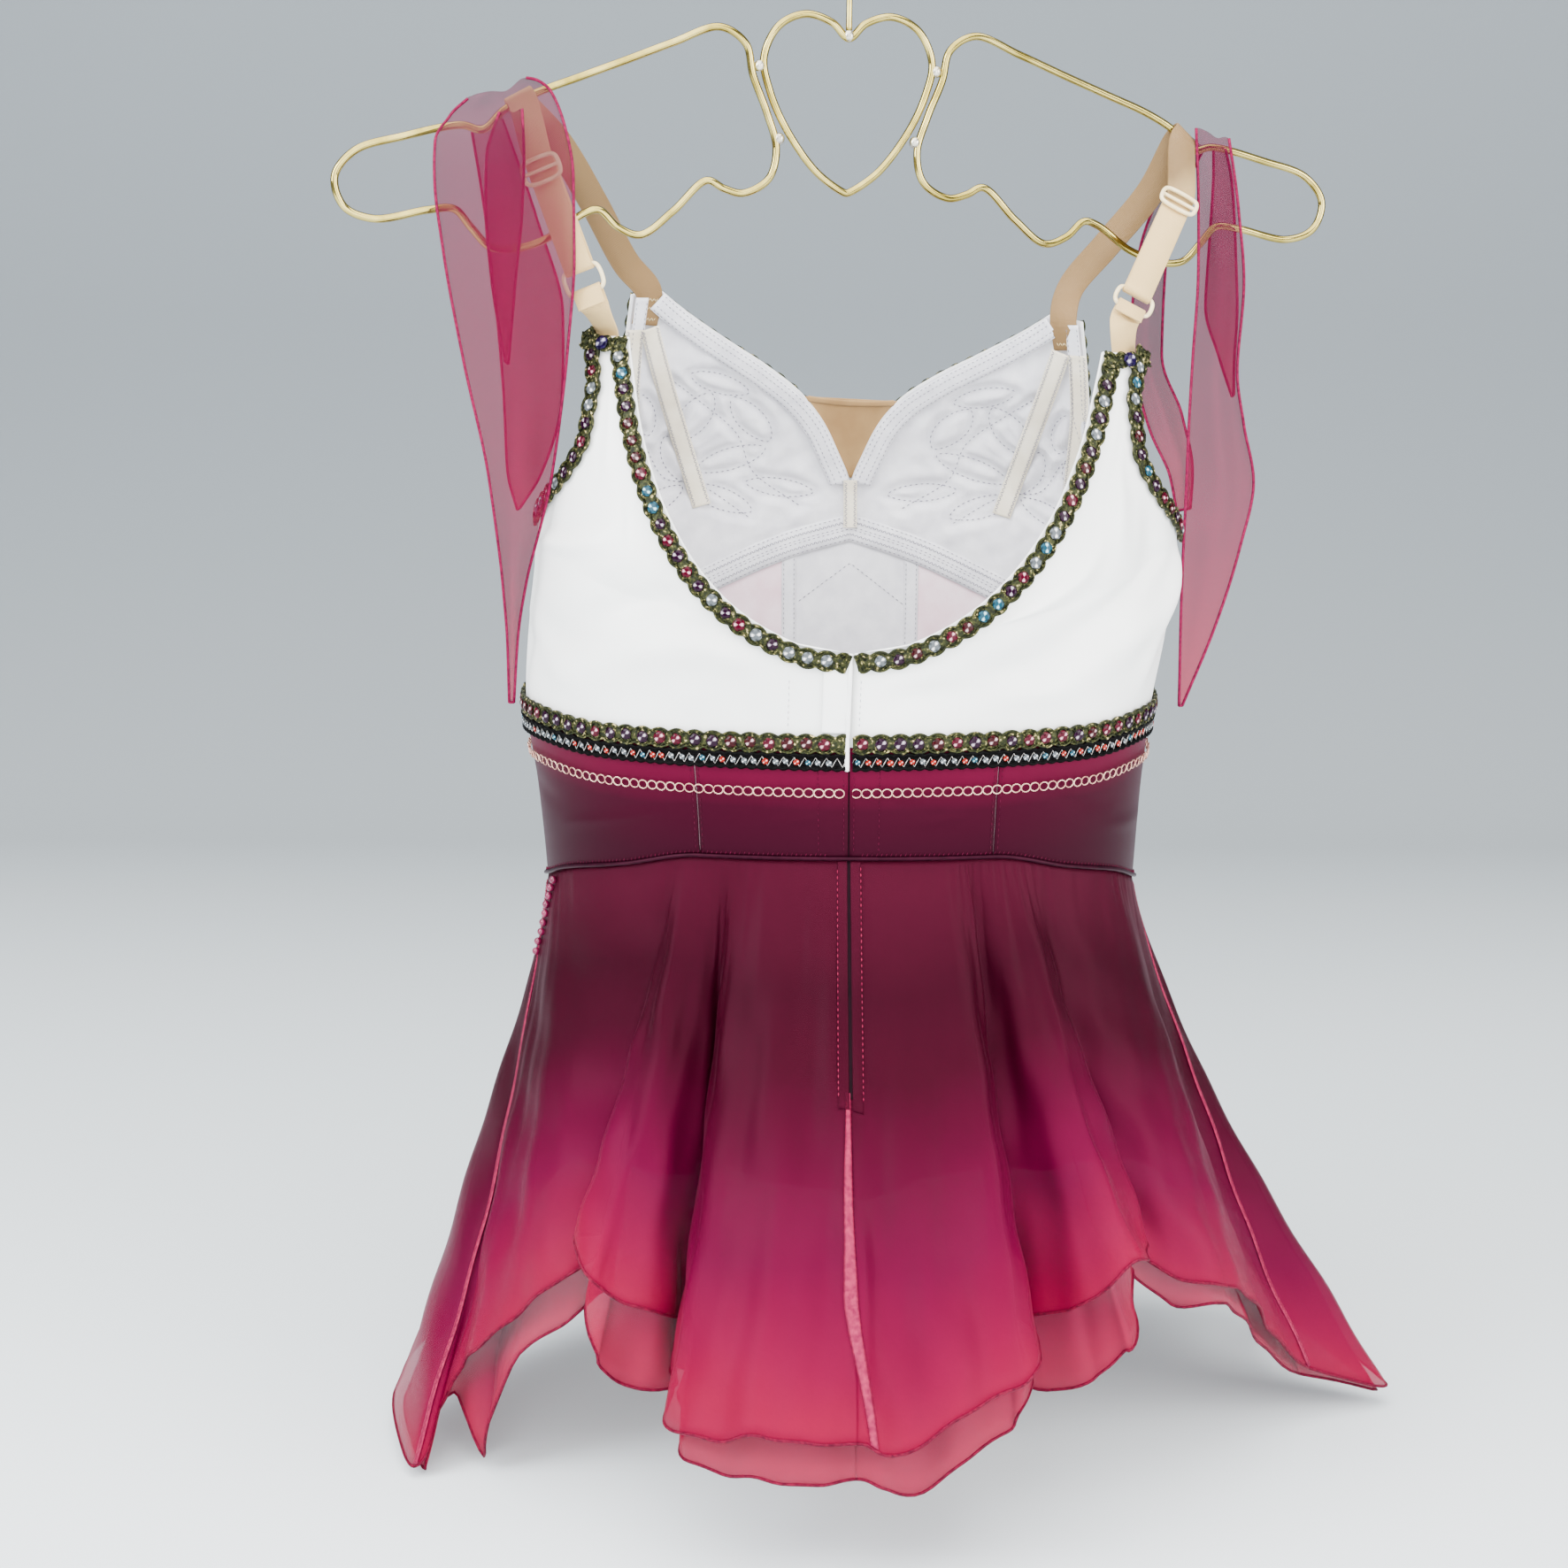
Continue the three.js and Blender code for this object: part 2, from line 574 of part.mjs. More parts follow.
// The colours are those of the cloth, the metal and the trims.
const finish = (color, roughness, metalness = 0, opacity = 1) => ({
  color,
  roughness,
  metalness,
  opacity,
  transparent: opacity < 1,
  side: THREE.DoubleSide,
});
const FINISHES = {
  gold: finish("#d9c98a", 0.2, 1),
  satin: finish("#f4f2ee", 0.45),
  lining: finish("#ebe8ea", 0.7),
  nude: finish("#c8a578", 0.7),
  elastic: finish("#dfc79f", 0.7),
  coated: finish("#eadcc0", 0.35),
  wine: finish("#7a1e48", 0.4),
  piping: finish("#3c0f28", 0.5),
  braid: finish("#6b6438", 0.6, 0.2),
  black: finish("#1d191b", 0.6),
  chain: finish("#d9b5b0", 0.3, 0.3),
  skirt: finish("#9a2350", 0.55, 0, 0.85),
  under: finish("#c23a66", 0.55, 0, 0.7),
  drape: finish("#962855", 0.55, 0, 0.6),
};

const dress = new THREE.Group();
const hanger = new THREE.Group();
dress.add(hanger);

function piece(group, name, geometry, kind) {
  const mesh = new THREE.Mesh(geometry, new THREE.MeshStandardMaterial(FINISHES[kind]));
  mesh.name = name;
  group.add(mesh);
}

// Hanger: two wire wings welded to a heart, and a hook that stands in the heart's notch.
const hangerPoint = (side) => (row) => vector(side * row.u, 0, row.z);
const PLANE = vector(0, 1, 0);
const wingCurve = (side) =>
  new THREE.CatmullRomCurve3(WING.map(hangerPoint(side)), true, "centripetal");
hanger.rotation.set(0, radians(HANGER_ROLL), radians(HANGER_YAW), "ZYX");
hanger.updateMatrixWorld(true);
for (const [name, side] of [
  ["left", -1],
  ["right", 1],
])
  piece(
    hanger,
    `hanger_wing_${name}`,
    wireAlong(wingCurve(side), 56, WIRE, PLANE, true),
    "gold",
  );
const heartPoints = [
  ...HEART.map(hangerPoint(1)),
  ...HEART.slice(1, -1).reverse().map(hangerPoint(-1)),
];
piece(
  hanger,
  "hanger_heart",
  wireAlong(new THREE.CatmullRomCurve3(heartPoints, true, "centripetal"), 40, WIRE, PLANE, true),
  "gold",
);
const hookCurve = new THREE.CatmullRomCurve3(HOOK.map(hangerPoint(1)), false, "centripetal");
piece(hanger, "hanger_hook", wireAlong(hookCurve, 26, HOOK_WIRE, PLANE, false), "gold");

// Bodice panels: each runs between its two edges, its bottom edge on the under-bust seam, whose
// curve fades out over the first rows.
const CURVED_ROWS = 4;
function panelArea(rows) {
  const inner = follow(rows, null, "inner");
  const outer = follow(rows, null, "outer");
  const innerZ = follow(rows, null, "innerZ");
  const outerZ = follow(rows, null, "outerZ");
  const last = rows.length - 1;
  return (u, v) => {
    const row = v * last;
    const start = inner(row) + SEAM_ANGLE;
    const end = outer(row) - SEAM_ANGLE;
    const angle = mix(start, end, u);
    const straight = mix(innerZ(row), outerZ(row), u);
    const bow = underbust(angle) - mix(rows[0].innerZ, rows[0].outerZ, u);
    const fade = Math.max(0, 1 - row / CURVED_ROWS) ** 2;
    return [angle, straight + (bow + SEAM / 2) * fade];
  };
}
const tableSteps = (rows) => rows.map((_, i) => i / (rows.length - 1));
const shares = (stations) =>
  stations.map((s) => (s - stations[0]) / (stations[stations.length - 1] - stations[0]));
const backArea = panelArea(BACK_PANEL);
const frontArea = panelArea(FRONT_PANEL);
const backShares = shares(BACK_STATIONS);
const frontShares = shares(FRONT_STATIONS);
const reversed = (list) => list.map((s) => 1 - s).reverse();
const LINING_LOW = -SEAM - CLOTH;

for (const [name, turn, order] of [
  ["left", mirrored, reversed],
  ["right", (area) => area, (list) => list],
]) {
  const back = onBody(turn(backArea));
  const front = onBody(turn(frontArea));
  piece(
    dress,
    `back_${name}`,
    wall(back, order(backShares), tableSteps(BACK_PANEL), 0, CLOTH),
    "satin",
  );
  piece(
    dress,
    `front_${name}`,
    wall(front, order(frontShares), tableSteps(FRONT_PANEL), 0, CLOTH),
    "satin",
  );
  piece(
    dress,
    `lining_cup_${name}`,
    wall(front, order(frontShares), tableSteps(FRONT_PANEL), LINING_LOW, -SEAM),
    "lining",
  );
}

// A band across the body between two angles, from one height line to another.
function band(from, to, bottom, top) {
  return (u, v) => {
    const angle = mix(from + SEAM_ANGLE, to - SEAM_ANGLE, u);
    return [angle, mix(bottom(angle), top(angle), v)];
  };
}
const belowBust = (angle) => underbust(angle) - SEAM / 2;
const aboveWaist = (angle) => waist(angle) + SEAM / 2;
const between = (list, from, to) => shares(list.filter((s) => s >= from && s <= to));
const THIRDS = [0, 1 / 3, 2 / 3, 1];
const LINING_FROM = 123; // the midriff's lining runs from this station to the centre front

for (const [name, turn, order] of [
  ["left", mirrored, reversed],
  ["right", (area) => area, (list) => list],
]) {
  const panels = [
    [`midriff_back_${name}`, 0, PRINCESS_BACK, BACK_STATIONS],
    [`midriff_side_${name}`, PRINCESS_BACK, 90, BACK_STATIONS],
    [`midriff_front_${name}`, 90, PRINCESS_FRONT, FRONT_STATIONS],
  ];
  for (const [panel, from, to, stations] of panels)
    piece(
      dress,
      panel,
      wall(
        onBody(turn(band(from, to, aboveWaist, belowBust))),
        order(between(stations, from, to)),
        THIRDS,
        0,
        CLOTH,
      ),
      "wine",
    );
  piece(
    dress,
    `lining_midriff_${name}`,
    wall(
      onBody(turn(band(LINING_FROM, PRINCESS_FRONT, aboveWaist, belowBust))),
      order(between(FRONT_STATIONS, LINING_FROM, PRINCESS_FRONT)),
      THIRDS,
      LINING_LOW,
      -SEAM,
    ),
    "lining",
  );
}
const frontCentre = onBody(
  band(PRINCESS_FRONT, 360 - PRINCESS_FRONT, aboveWaist, belowBust),
);
const HALVES = [0, 0.5, 1];
piece(dress, "midriff_front_centre", wall(frontCentre, HALVES, THIRDS, 0, CLOTH), "wine");
piece(
  dress,
  "lining_midriff_centre",
  wall(frontCentre, HALVES, THIRDS, LINING_LOW, -SEAM),
  "lining",
);

// The modesty insert in the notch of the neckline, and the placket band down the centre back.
const insertHalf = follow(INSERT, "z", "half");
const INSERT_GAP = 0.5; // between it and the cups, in degrees
piece(
  dress,
  "modesty_insert",
  wall(
    onBody((u, v) => {
      const height = mix(INSERT[0].z, INSERT[INSERT.length - 1].z, v);
      return [180 + mix(-1, 1, u) * (insertHalf(height) - INSERT_GAP), height];
    }),
    [0, 0.25, 0.5, 0.75, 1],
    THIRDS,
    0,
    CLOTH,
  ),
  "nude",
);
const PLACKET = { from: -4.8, to: -0.4, top: -349.5, thick: 0.8 };
piece(
  dress,
  "placket_band",
  wall(
    onBody((u, v) => {
      const angle = mix(PLACKET.from, PLACKET.to, u);
      return [angle, mix(underbust(angle) + BRAID_ABOVE_SEAM + SEAM, PLACKET.top, v)];
    }),
    [0, 1],
    THIRDS,
    CLOTH + LIFT,
    CLOTH + LIFT + PLACKET.thick,
  ),
  "satin",
);

// Braid along one edge of a bodice panel, from a row of its table up to the top.
const TRIM_LOW = CLOTH + LIFT + 0.1;
const MOST_SHARE = 0.46; // of a panel that narrows, so that its two braids don't meet
function edging(area, rows, fromRow, atInner) {
  const start = fromRow / (rows.length - 1);
  return (u, v) => {
    const height = mix(start, 1, v);
    const length = torso(...area(0, height), 0).distanceTo(torso(...area(1, height), 0));
    const share = Math.min(BRAID / length, MOST_SHARE);
    return area(atInner ? u * share : 1 - (1 - u) * share, height);
  };
}
const edgeSteps = (rows, fromRow) =>
  Array.from({ length: rows.length - fromRow }, (_, i) => i / (rows.length - 1 - fromRow));
const BRAIDS = [
  ["neck_braid_back", backArea, BACK_PANEL, BACK_NECK_ROW, true],
  ["armhole_braid_back", backArea, BACK_PANEL, ARMHOLE_ROW, false],
  ["neck_braid_front", frontArea, FRONT_PANEL, FRONT_NECK_ROW, false],
  ["armhole_braid_front", frontArea, FRONT_PANEL, ARMHOLE_ROW, true],
];
for (const [name, area, rows, fromRow, atInner] of BRAIDS)
  for (const [side, turn] of [
    ["left", mirrored],
    ["right", (given) => given],
  ])
    piece(
      dress,
      `${name}_${side}`,
      wall(
        onBody(turn(edging(area, rows, fromRow, atInner))),
        HALVES,
        edgeSteps(rows, fromRow),
        TRIM_LOW,
        TRIM_LOW + BRAID_THICK,
      ),
      "braid",
    );

// Trims right round the body: scalloped braid, black braid, ring chain, and the waist's piping.
const ROUND = STATIONS.concat(
  STATIONS.slice(1, -1)
    .reverse()
    .map((angle) => 360 - angle),
);
const EVEN = Array.from({ length: 48 }, (_, i) => i * 7.5);
const braidTop = (angle) => underbust(angle) + BRAID_ABOVE_SEAM;
const braidBottom = (angle) => braidTop(angle) - UNDERBUST_BRAID;
const blackTop = (angle) => braidBottom(angle) - SEAM;
const blackBottom = (angle) => blackTop(angle) - BLACK_BRAID;
const chainTop = (angle) => underbust(angle) - CHAIN_DROP;
const chainBottom = (angle) => chainTop(angle) - CHAIN;
piece(
  dress,
  "underbust_braid",
  hoop(braidBottom, braidTop, TRIM_LOW, TRIM_LOW + BRAID_THICK, ROUND),
  "braid",
);
piece(
  dress,
  "underbust_black_braid",
  hoop(blackBottom, blackTop, TRIM_LOW, TRIM_LOW + BRAID_THICK, ROUND),
  "black",
);
piece(
  dress,
  "chain_trim",
  hoop(chainBottom, chainTop, TRIM_LOW, TRIM_LOW + CHAIN_THICK, ROUND),
  "chain",
);
const PIPING_LOW = TRIM_LOW + 0.2;
piece(
  dress,
  "waist_piping",
  hoop(
    (angle) => waist(angle) - PIPING / 2,
    (angle) => waist(angle) + PIPING / 2,
    PIPING_LOW,
    PIPING_LOW + PIPING,
    EVEN,
  ),
  "piping",
);

// Skirt: every line of cloth leaves the waist at its own angle and ends at its own hem point.
const turned = (rows, turns) => rows.map((row) => ({ ...row, waist: row.waist + 360 * turns }));
const WRAP = 3;
const HEM = [...turned(FOLDS.slice(-WRAP), -1), ...FOLDS, ...turned(FOLDS.slice(0, WRAP), 1)];
const hem = Object.fromEntries(
  ["waist", "x", "y", "z", "under", "inset"].map((name) => {
    const line = follow(HEM, null, name);
    return [name, (u) => line(u + WRAP)];
  }),
);
// u counts rows of the table, v is 1 at the waist and 0 at the hem.
const clothLine = (drop) => (u, v) => {
  const angle = hem.waist(u);
  const top = torso(angle, waist(angle) - SEAM / 2, CLOTH / 2);
  const down = Math.max(0, 1 - v);
  const spread = down ** FLARE;
  return vector(
    mix(top.x, hem.x(u), spread),
    mix(top.y, hem.y(u), spread),
    mix(top.z, hem.z(u) - drop(u), down),
  );
};
const SOFT = 0.25; // rows over which a fold edge is rounded
const outerLayer = offset(clothLine(() => 0), SOFT);
const underPlace = offset(clothLine(hem.under), SOFT);
const underLayer = (u, v, out) =>
  underPlace(u, v, out - mix(UNDER_GAP, hem.inset(u), (1 - v) ** 2));
const stepsBetween = (from, to, each) => {
  const count = Math.round((to - from) * each);
  return Array.from({ length: count + 1 }, (_, i) => mix(from, to, i / count));
};
const SEAM_SHARE = 0.02; // half the seam's gap in rows of the fold table
const UNDER_SHARE = 0.07;
const STEPS_A_FOLD = 2;
const SKIRT_ROWS = 7;
const UNDER_ROWS = 5;
const downTo = (rows) => Array.from({ length: rows + 1 }, (_, i) => i / rows);
const QUARTERS = [
  ["back_right", 0, RIGHT_SEAM_ROW],
  ["front_right", RIGHT_SEAM_ROW, FRONT_SEAM_ROW],
  ["front_left", FRONT_SEAM_ROW, LEFT_SEAM_ROW],
  ["back_left", LEFT_SEAM_ROW, FOLDS.length],
];
for (const [name, from, to] of QUARTERS) {
  const across = (share) => stepsBetween(from + share, to - share, STEPS_A_FOLD);
  piece(
    dress,
    `skirt_${name}`,
    wall(outerLayer, across(SEAM_SHARE), downTo(SKIRT_ROWS), -ORGANZA / 2, ORGANZA / 2),
    "skirt",
  );
  piece(
    dress,
    `underskirt_${name}`,
    wall(underLayer, across(UNDER_SHARE), downTo(UNDER_ROWS), -ORGANZA / 2, ORGANZA / 2),
    "under",
  );
}

// A rounded oblong of wire round a centre, in the plane of two directions.
const ROUNDED = 0.16; // share of its height that each corner takes
function oblong(centre, across, along, width, height) {
  const corner = Math.min(width, height) * ROUNDED;
  const points = [];
  for (const [a, b] of [
    [1, 1],
    [-1, 1],
    [-1, -1],
    [1, -1],
  ])
    for (const [p, q] of a * b > 0 ? [[0, 1], [1, 0]] : [[1, 0], [0, 1]])
      points.push(
        centre
          .clone()
          .addScaledVector(across, a * (width / 2 - corner * p))
          .addScaledVector(along, b * (height / 2 - corner * q)),
      );
  return new THREE.CatmullRomCurve3(points, true, "centripetal");
}

// Straps: elastic that is sewn inside the front, goes up over the hanger's wire and down the
// back through a slider, round a ring and up to the slider again. A tab holds the ring.
const ON_WIRE = 0.55; // half the rows of the wing that a strap covers
const OVER_WIRE = [-100, -50, 0, 50, 95]; // degrees round the wire at which the strap bends
const SEWN_HEIGHTS = [-211, -224]; // of its front end, inside the top edge
const TAB_HEIGHTS = [-236, -228]; // of the tab, inside the back's top edge
const APART = 0.5; // twice the gap between the strap's two layers
const BEND = 0.7; // share of the reach at the middle of a bend
const BESIDE = 6; // length that lies flat beside the ring or slider
const SPREAD = 2; // degrees to each side of a sewn end that give its direction
for (const [name, side] of [
  ["left", -1],
  ["right", 1],
]) {
  const { wireRow, slider, ring, rise, turn } = STRAPS[name];
  const wing = wingCurve(side);
  const [before, after] = [-ON_WIRE, ON_WIRE].map((step) =>
    wing.getPoint((wireRow + step) / WING.length).applyMatrix4(hanger.matrixWorld),
  );
  const at = before.clone().lerp(after, 0.5);
  const wireWay = after.clone().sub(before).normalize().multiplyScalar(side);
  const front = PLANE.clone().transformDirection(hanger.matrixWorld);
  const upFromWire = wireWay.clone().cross(front).multiplyScalar(-1).normalize();
  if (upFromWire.z < 0) upFromWire.negate();
  const round = WIRE + 2 * LIFT + STRAP_THICK / 2;
  const overWire = (degrees) =>
    at
      .clone()
      .addScaledVector(upFromWire, round * Math.cos(radians(degrees)))
      .addScaledVector(front, round * Math.sin(radians(degrees)));
  const flat = vector(Math.cos(radians(turn)), Math.sin(radians(turn)), 0);
  const sliderAt = vector(...slider);
  const ringAt = vector(...ring);
  const up = sliderAt.clone().sub(ringAt).normalize();
  const across = flat.clone().addScaledVector(up, -flat.dot(up)).normalize();
  const out = across.clone().cross(up);
  const ringTop = ringAt.clone().addScaledVector(up, RING_HEIGHT / 2);
  const ringBottom = ringAt.clone().addScaledVector(up, -RING_HEIGHT / 2);
  const reach = RING_WIRE + SEAM + STRAP_THICK / 2;
  const near = (point, outward, upward) =>
    point.clone().addScaledVector(out, outward).addScaledVector(up, upward);
  // Webbing that comes to one bar of the ring behind it, bends round it and leaves in front.
  const loop = (bar, way) =>
    [
      [-1, way * BESIDE],
      [-1, 0],
      [-BEND, -way * BEND * reach],
      [0, -way * reach],
      [BEND, -way * BEND * reach],
      [1, 0],
      [1, way * BESIDE],
    ].map(([share, upward]) => ({ at: near(bar, share * reach, upward), side: across }));
  const sewnAngle = side * (180 - STRAP_ANGLE);
  const beforeSewn = torso(sewnAngle - SPREAD, SEWN_HEIGHTS[0], 0);
  const sewnDirection = beforeSewn.sub(torso(sewnAngle + SPREAD, SEWN_HEIGHTS[0], 0)).normalize();
  const inside = (height) => torso(sewnAngle, height, LINING_LOW - 2 * LIFT - STRAP_THICK / 2);
  const layer = (STRAP_THICK + APART) / 2;
  const stops = [
    { at: near(sliderAt, -layer, BESIDE / 2), side: across },
    ...loop(ringTop, 1),
    { at: near(sliderAt, layer, 0), side: across },
    { at: near(sliderAt, layer, BESIDE), side: across },
    ...OVER_WIRE.map((degrees) => ({ at: overWire(degrees), side: wireWay })),
    ...[...rise].reverse().map((point, i) => ({
      at: vector(...point),
      side: wireWay.clone().lerp(sewnDirection, (i + 1) / (rise.length + 1)),
    })),
    ...SEWN_HEIGHTS.map((height) => ({ at: inside(height), side: sewnDirection })),
  ];
  for (const stop of stops) if (stop.side.x < 0) stop.side = stop.side.clone().negate();
  piece(dress, `strap_${name}`, webbing(stops, STRAP, STRAP_THICK), "elastic");
  piece(
    dress,
    `strap_ring_${name}`,
    wireAlong(oblong(ringAt, across, up, RING_WIDTH, RING_HEIGHT), 24, RING_WIRE, out, true),
    "coated",
  );
  const sliderMiddle = near(sliderAt, layer + STRAP_THICK / 2 + LIFT + RING_WIRE, 0);
  piece(
    dress,
    `strap_slider_${name}`,
    wireAlong(oblong(sliderMiddle, across, up, RING_WIDTH, SLIDER_HEIGHT), 24, RING_WIRE, out, true),
    "coated",
  );
  const tabAngle = side * TAB_ANGLE;
  const tabIn = (height) => torso(tabAngle, height, -2 * LIFT - STRAP_THICK / 2);
  const afterTab = torso(tabAngle + SPREAD, TAB_HEIGHTS[1], 0);
  const tabSide = afterTab.sub(torso(tabAngle - SPREAD, TAB_HEIGHTS[1], 0));
  const tab = [
    ...TAB_HEIGHTS.map((height) => ({ at: tabIn(height), side: tabSide })),
    ...loop(ringBottom, -1),
  ];
  piece(dress, `strap_tab_${name}`, webbing(tab, STRAP, STRAP_THICK), "elastic");
}

// Drapes: a sash of organza over each strap, its back half in a leaf with a folded ply.
const DRAPE_COLUMNS = 6;
const BACK_ROWS = 10;
const DRAPE_ROWS = 7;
function leaf(rows) {
  const column = (name) => follow(rows, null, name);
  const [left, leftZ, right, rightZ] = ["left", "leftZ", "right", "rightZ"].map(column);
  const forward = column("out");
  const bow = column("bow");
  const last = rows.length - 1;
  return (u, v) => {
    const row = v * last;
    const x = mix(left(row), right(row), u);
    const swell = bow(row) * Math.sin(Math.PI * u) * Math.cos(2 * Math.PI * u);
    const y = x * Math.tan(radians(HANGER_YAW)) - forward(row) + swell;
    return vector(x, y, mix(leftZ(row), rightZ(row), u));
  };
}
for (const [name, parts] of Object.entries(DRAPES))
  for (const [part, rows] of Object.entries(parts))
    piece(
      dress,
      `drape_${name}_${part}`,
      wall(
        offset(leaf(rows)),
        downTo(DRAPE_COLUMNS),
        downTo(part === "back" ? BACK_ROWS : DRAPE_ROWS),
        -ORGANZA / 2,
        ORGANZA / 2,
      ),
      "drape",
    );

export default dress;
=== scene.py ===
"""The looks of a ballet dress on a wire hanger, section by section as it is put together."""

import math

import bpy
import numpy as np
from mathutils import Matrix


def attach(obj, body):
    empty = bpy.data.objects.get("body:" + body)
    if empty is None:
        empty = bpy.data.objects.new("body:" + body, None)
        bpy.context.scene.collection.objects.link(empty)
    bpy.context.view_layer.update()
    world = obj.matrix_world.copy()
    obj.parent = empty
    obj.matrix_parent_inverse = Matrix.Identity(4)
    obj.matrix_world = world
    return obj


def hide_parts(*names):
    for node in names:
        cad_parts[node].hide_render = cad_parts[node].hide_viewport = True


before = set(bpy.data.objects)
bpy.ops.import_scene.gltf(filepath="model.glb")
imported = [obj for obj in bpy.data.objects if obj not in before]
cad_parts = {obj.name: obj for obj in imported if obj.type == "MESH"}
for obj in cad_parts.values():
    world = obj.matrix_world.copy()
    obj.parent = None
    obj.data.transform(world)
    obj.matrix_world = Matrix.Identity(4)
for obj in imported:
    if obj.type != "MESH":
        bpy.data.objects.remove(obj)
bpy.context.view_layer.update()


# ---- Camera ----
# The photograph's view: from behind the dress, a little above it, looking down.
def stand(thing, axes, place):
    """The object is set at a place, its own right, up and back along the three axes."""
    rows = [[axis[i] for axis in axes] + [place[i]] for i in range(3)]
    thing.matrix_world = Matrix(rows + [[0, 0, 0, 1]])
    bpy.context.scene.collection.objects.link(thing)


def place_camera():
    """The camera's axes are right, up and back, worked out from its turn and its tilt."""
    turn, tilt = math.radians(1.5), math.radians(9.5)
    right = (math.cos(turn), math.sin(turn), 0)
    up = (-math.sin(turn) * math.sin(tilt), math.cos(turn) * math.sin(tilt), math.cos(tilt))
    back = (math.sin(turn) * math.cos(tilt), -math.cos(turn) * math.cos(tilt), math.sin(tilt))
    lens = bpy.data.cameras.new("camera")
    lens.sensor_width = 36
    lens.lens = 59.28
    camera = bpy.data.objects.new("camera", lens)
    stand(camera, (right, up, back), (0.0007, -1.0861, -0.2312))
    bpy.context.scene.camera = camera


place_camera()


# ---- Hanger ----
# Two wings and a heart of bent steel wire, plated pale gold and polished, welded where they
# touch, with a thinner hook standing in the heart's notch. The whole is turned 12.5 degrees.
HANGER_YAW = 12.5
HANGER_ROLL = 0.75
WIRE = 1.6
HOOK_WIRE = 1.3
WING = np.array([
    (39.5, -121), (42.5, -109), (53, -102.8), (72, -109.5), (91, -117), (110, -124.3),
    (128, -131.3), (140, -138), (148.5, -145.8), (157, -144.3), (180, -149.3), (199, -155.3),
    (207, -165.5), (203.5, -177), (192, -181.5), (170, -177.5), (160, -177), (153.5, -184),
    (146, -191.5), (137, -192.3), (122.5, -187.5), (108, -177.5), (102, -176), (94.5, -182.5),
    (85, -185.5), (72, -176), (58, -163.3), (51, -166.3), (43, -168), (32.5, -162),
    (29.5, -150), (33.5, -136),
])
HEART = np.array([
    (0, -105.5), (7, -99.5), (18, -96.5), (29, -101.5), (35, -114), (32.5, -127),
    (25.5, -142), (13, -158.5), (2, -166.3), (0, -167),
])
HOOK = np.array([
    (0, -102.2), (0, -76), (0, -52), (5, -40), (14, -29), (18, -16.7),
    (12.7, -4), (0, 1.3), (-12.7, -4), (-18, -16.7), (-16.5, -25),
])


def unit(vectors):
    """Each vector divided by its length."""
    return vectors / np.maximum(np.linalg.norm(vectors, axis=-1, keepdims=True), 1e-12)


def lengths(line):
    """How far along a line each of its points lies."""
    return np.concatenate([[0], np.cumsum(np.linalg.norm(np.diff(line, axis=0), axis=1))])


def smooth_line(stops, count, closed=False):
    """A centripetal Catmull-Rom line through the stops: each span blends its four nearest
    stops by the square roots of their distances. The result is evenly spaced along its length."""
    stops = np.asarray(stops, float)
    if closed:
        ring = np.concatenate([stops[-1:], stops, stops[:2]])
    else:
        ring = np.concatenate([2 * stops[:1] - stops[1:2], stops, 2 * stops[-1:] - stops[-2:-1]])
    p0, p1, p2, p3 = ring[:-3], ring[1:-2], ring[2:-1], ring[3:]
    gap = [
        np.sqrt(np.linalg.norm(b - a, axis=1))[:, None, None]
        for a, b in ((p0, p1), (p1, p2), (p2, p3))
    ]
    p0, p1, p2, p3 = (p[:, None, :] for p in (p0, p1, p2, p3))
    t1 = gap[0]
    t2 = t1 + gap[1]
    t3 = t2 + gap[2]
    t = t1 + np.linspace(0, 1, 24, endpoint=False)[None, :, None] * gap[1]
    a1 = ((t1 - t) * p0 + t * p1) / t1
    a2 = ((t2 - t) * p1 + (t - t1) * p2) / (t2 - t1)
    a3 = ((t3 - t) * p2 + (t - t2) * p3) / (t3 - t2)
    b1 = ((t2 - t) * a1 + t * a2) / t2
    b2 = ((t3 - t) * a2 + (t - t1) * a3) / (t3 - t1)
    line = (((t2 - t) * b1 + (t - t1) * b2) / (t2 - t1)).reshape(-1, stops.shape[1])
    line = np.concatenate([line, stops[:1] if closed else stops[-1:]])
    far = lengths(line)
    at = np.linspace(0, far[-1], count, endpoint=not closed)
    return np.stack([np.interp(at, far, line[:, k]) for k in range(line.shape[1])], axis=1)


def tube(path, radius, sides, closed=False, flat=(0, 1, 0)):
    """Circles carried along a path: each circle lies in the plane of the path's across and up,
    where across is the given direction crossed with the way the path runs."""
    path = np.asarray(path, float)
    if closed:
        way = unit(np.roll(path, -1, 0) - np.roll(path, 1, 0))
    else:
        way = unit(np.gradient(path, axis=0))
    across = unit(np.cross(np.broadcast_to(flat, path.shape), way))
    up = np.cross(way, across)
    turn = np.arange(sides) / sides * 2 * np.pi
    size = np.broadcast_to(radius, len(path))[:, None, None]
    ring = np.cos(turn)[None, :, None] * across[:, None] + np.sin(turn)[None, :, None] * up[:, None]
    points = (path[:, None] + size * ring).reshape(-1, 3)
    n = len(path)
    i = np.arange(n if closed else n - 1)[:, None] * sides
    j = (np.arange(1, n + 1 if closed else n) % n)[:, None] * sides
    k = np.arange(sides)[None]
    l = (k + 1) % sides
    faces = np.stack([i + k, i + l, j + l, j + k], axis=-1).reshape(-1, 4)
    shells = [(points, faces)]
    if not closed:  # the two caps are a shell that counts back to the tube's own points
        fan = np.arange(1, sides - 1)
        start = np.stack([np.zeros_like(fan), fan + 1, fan], axis=1)
        end = np.stack([np.zeros_like(fan), fan, fan + 1], axis=1) + (n - 1) * sides
        shells.append((np.zeros((0, 3)), np.concatenate([start, end]) - len(points)))
    return shells


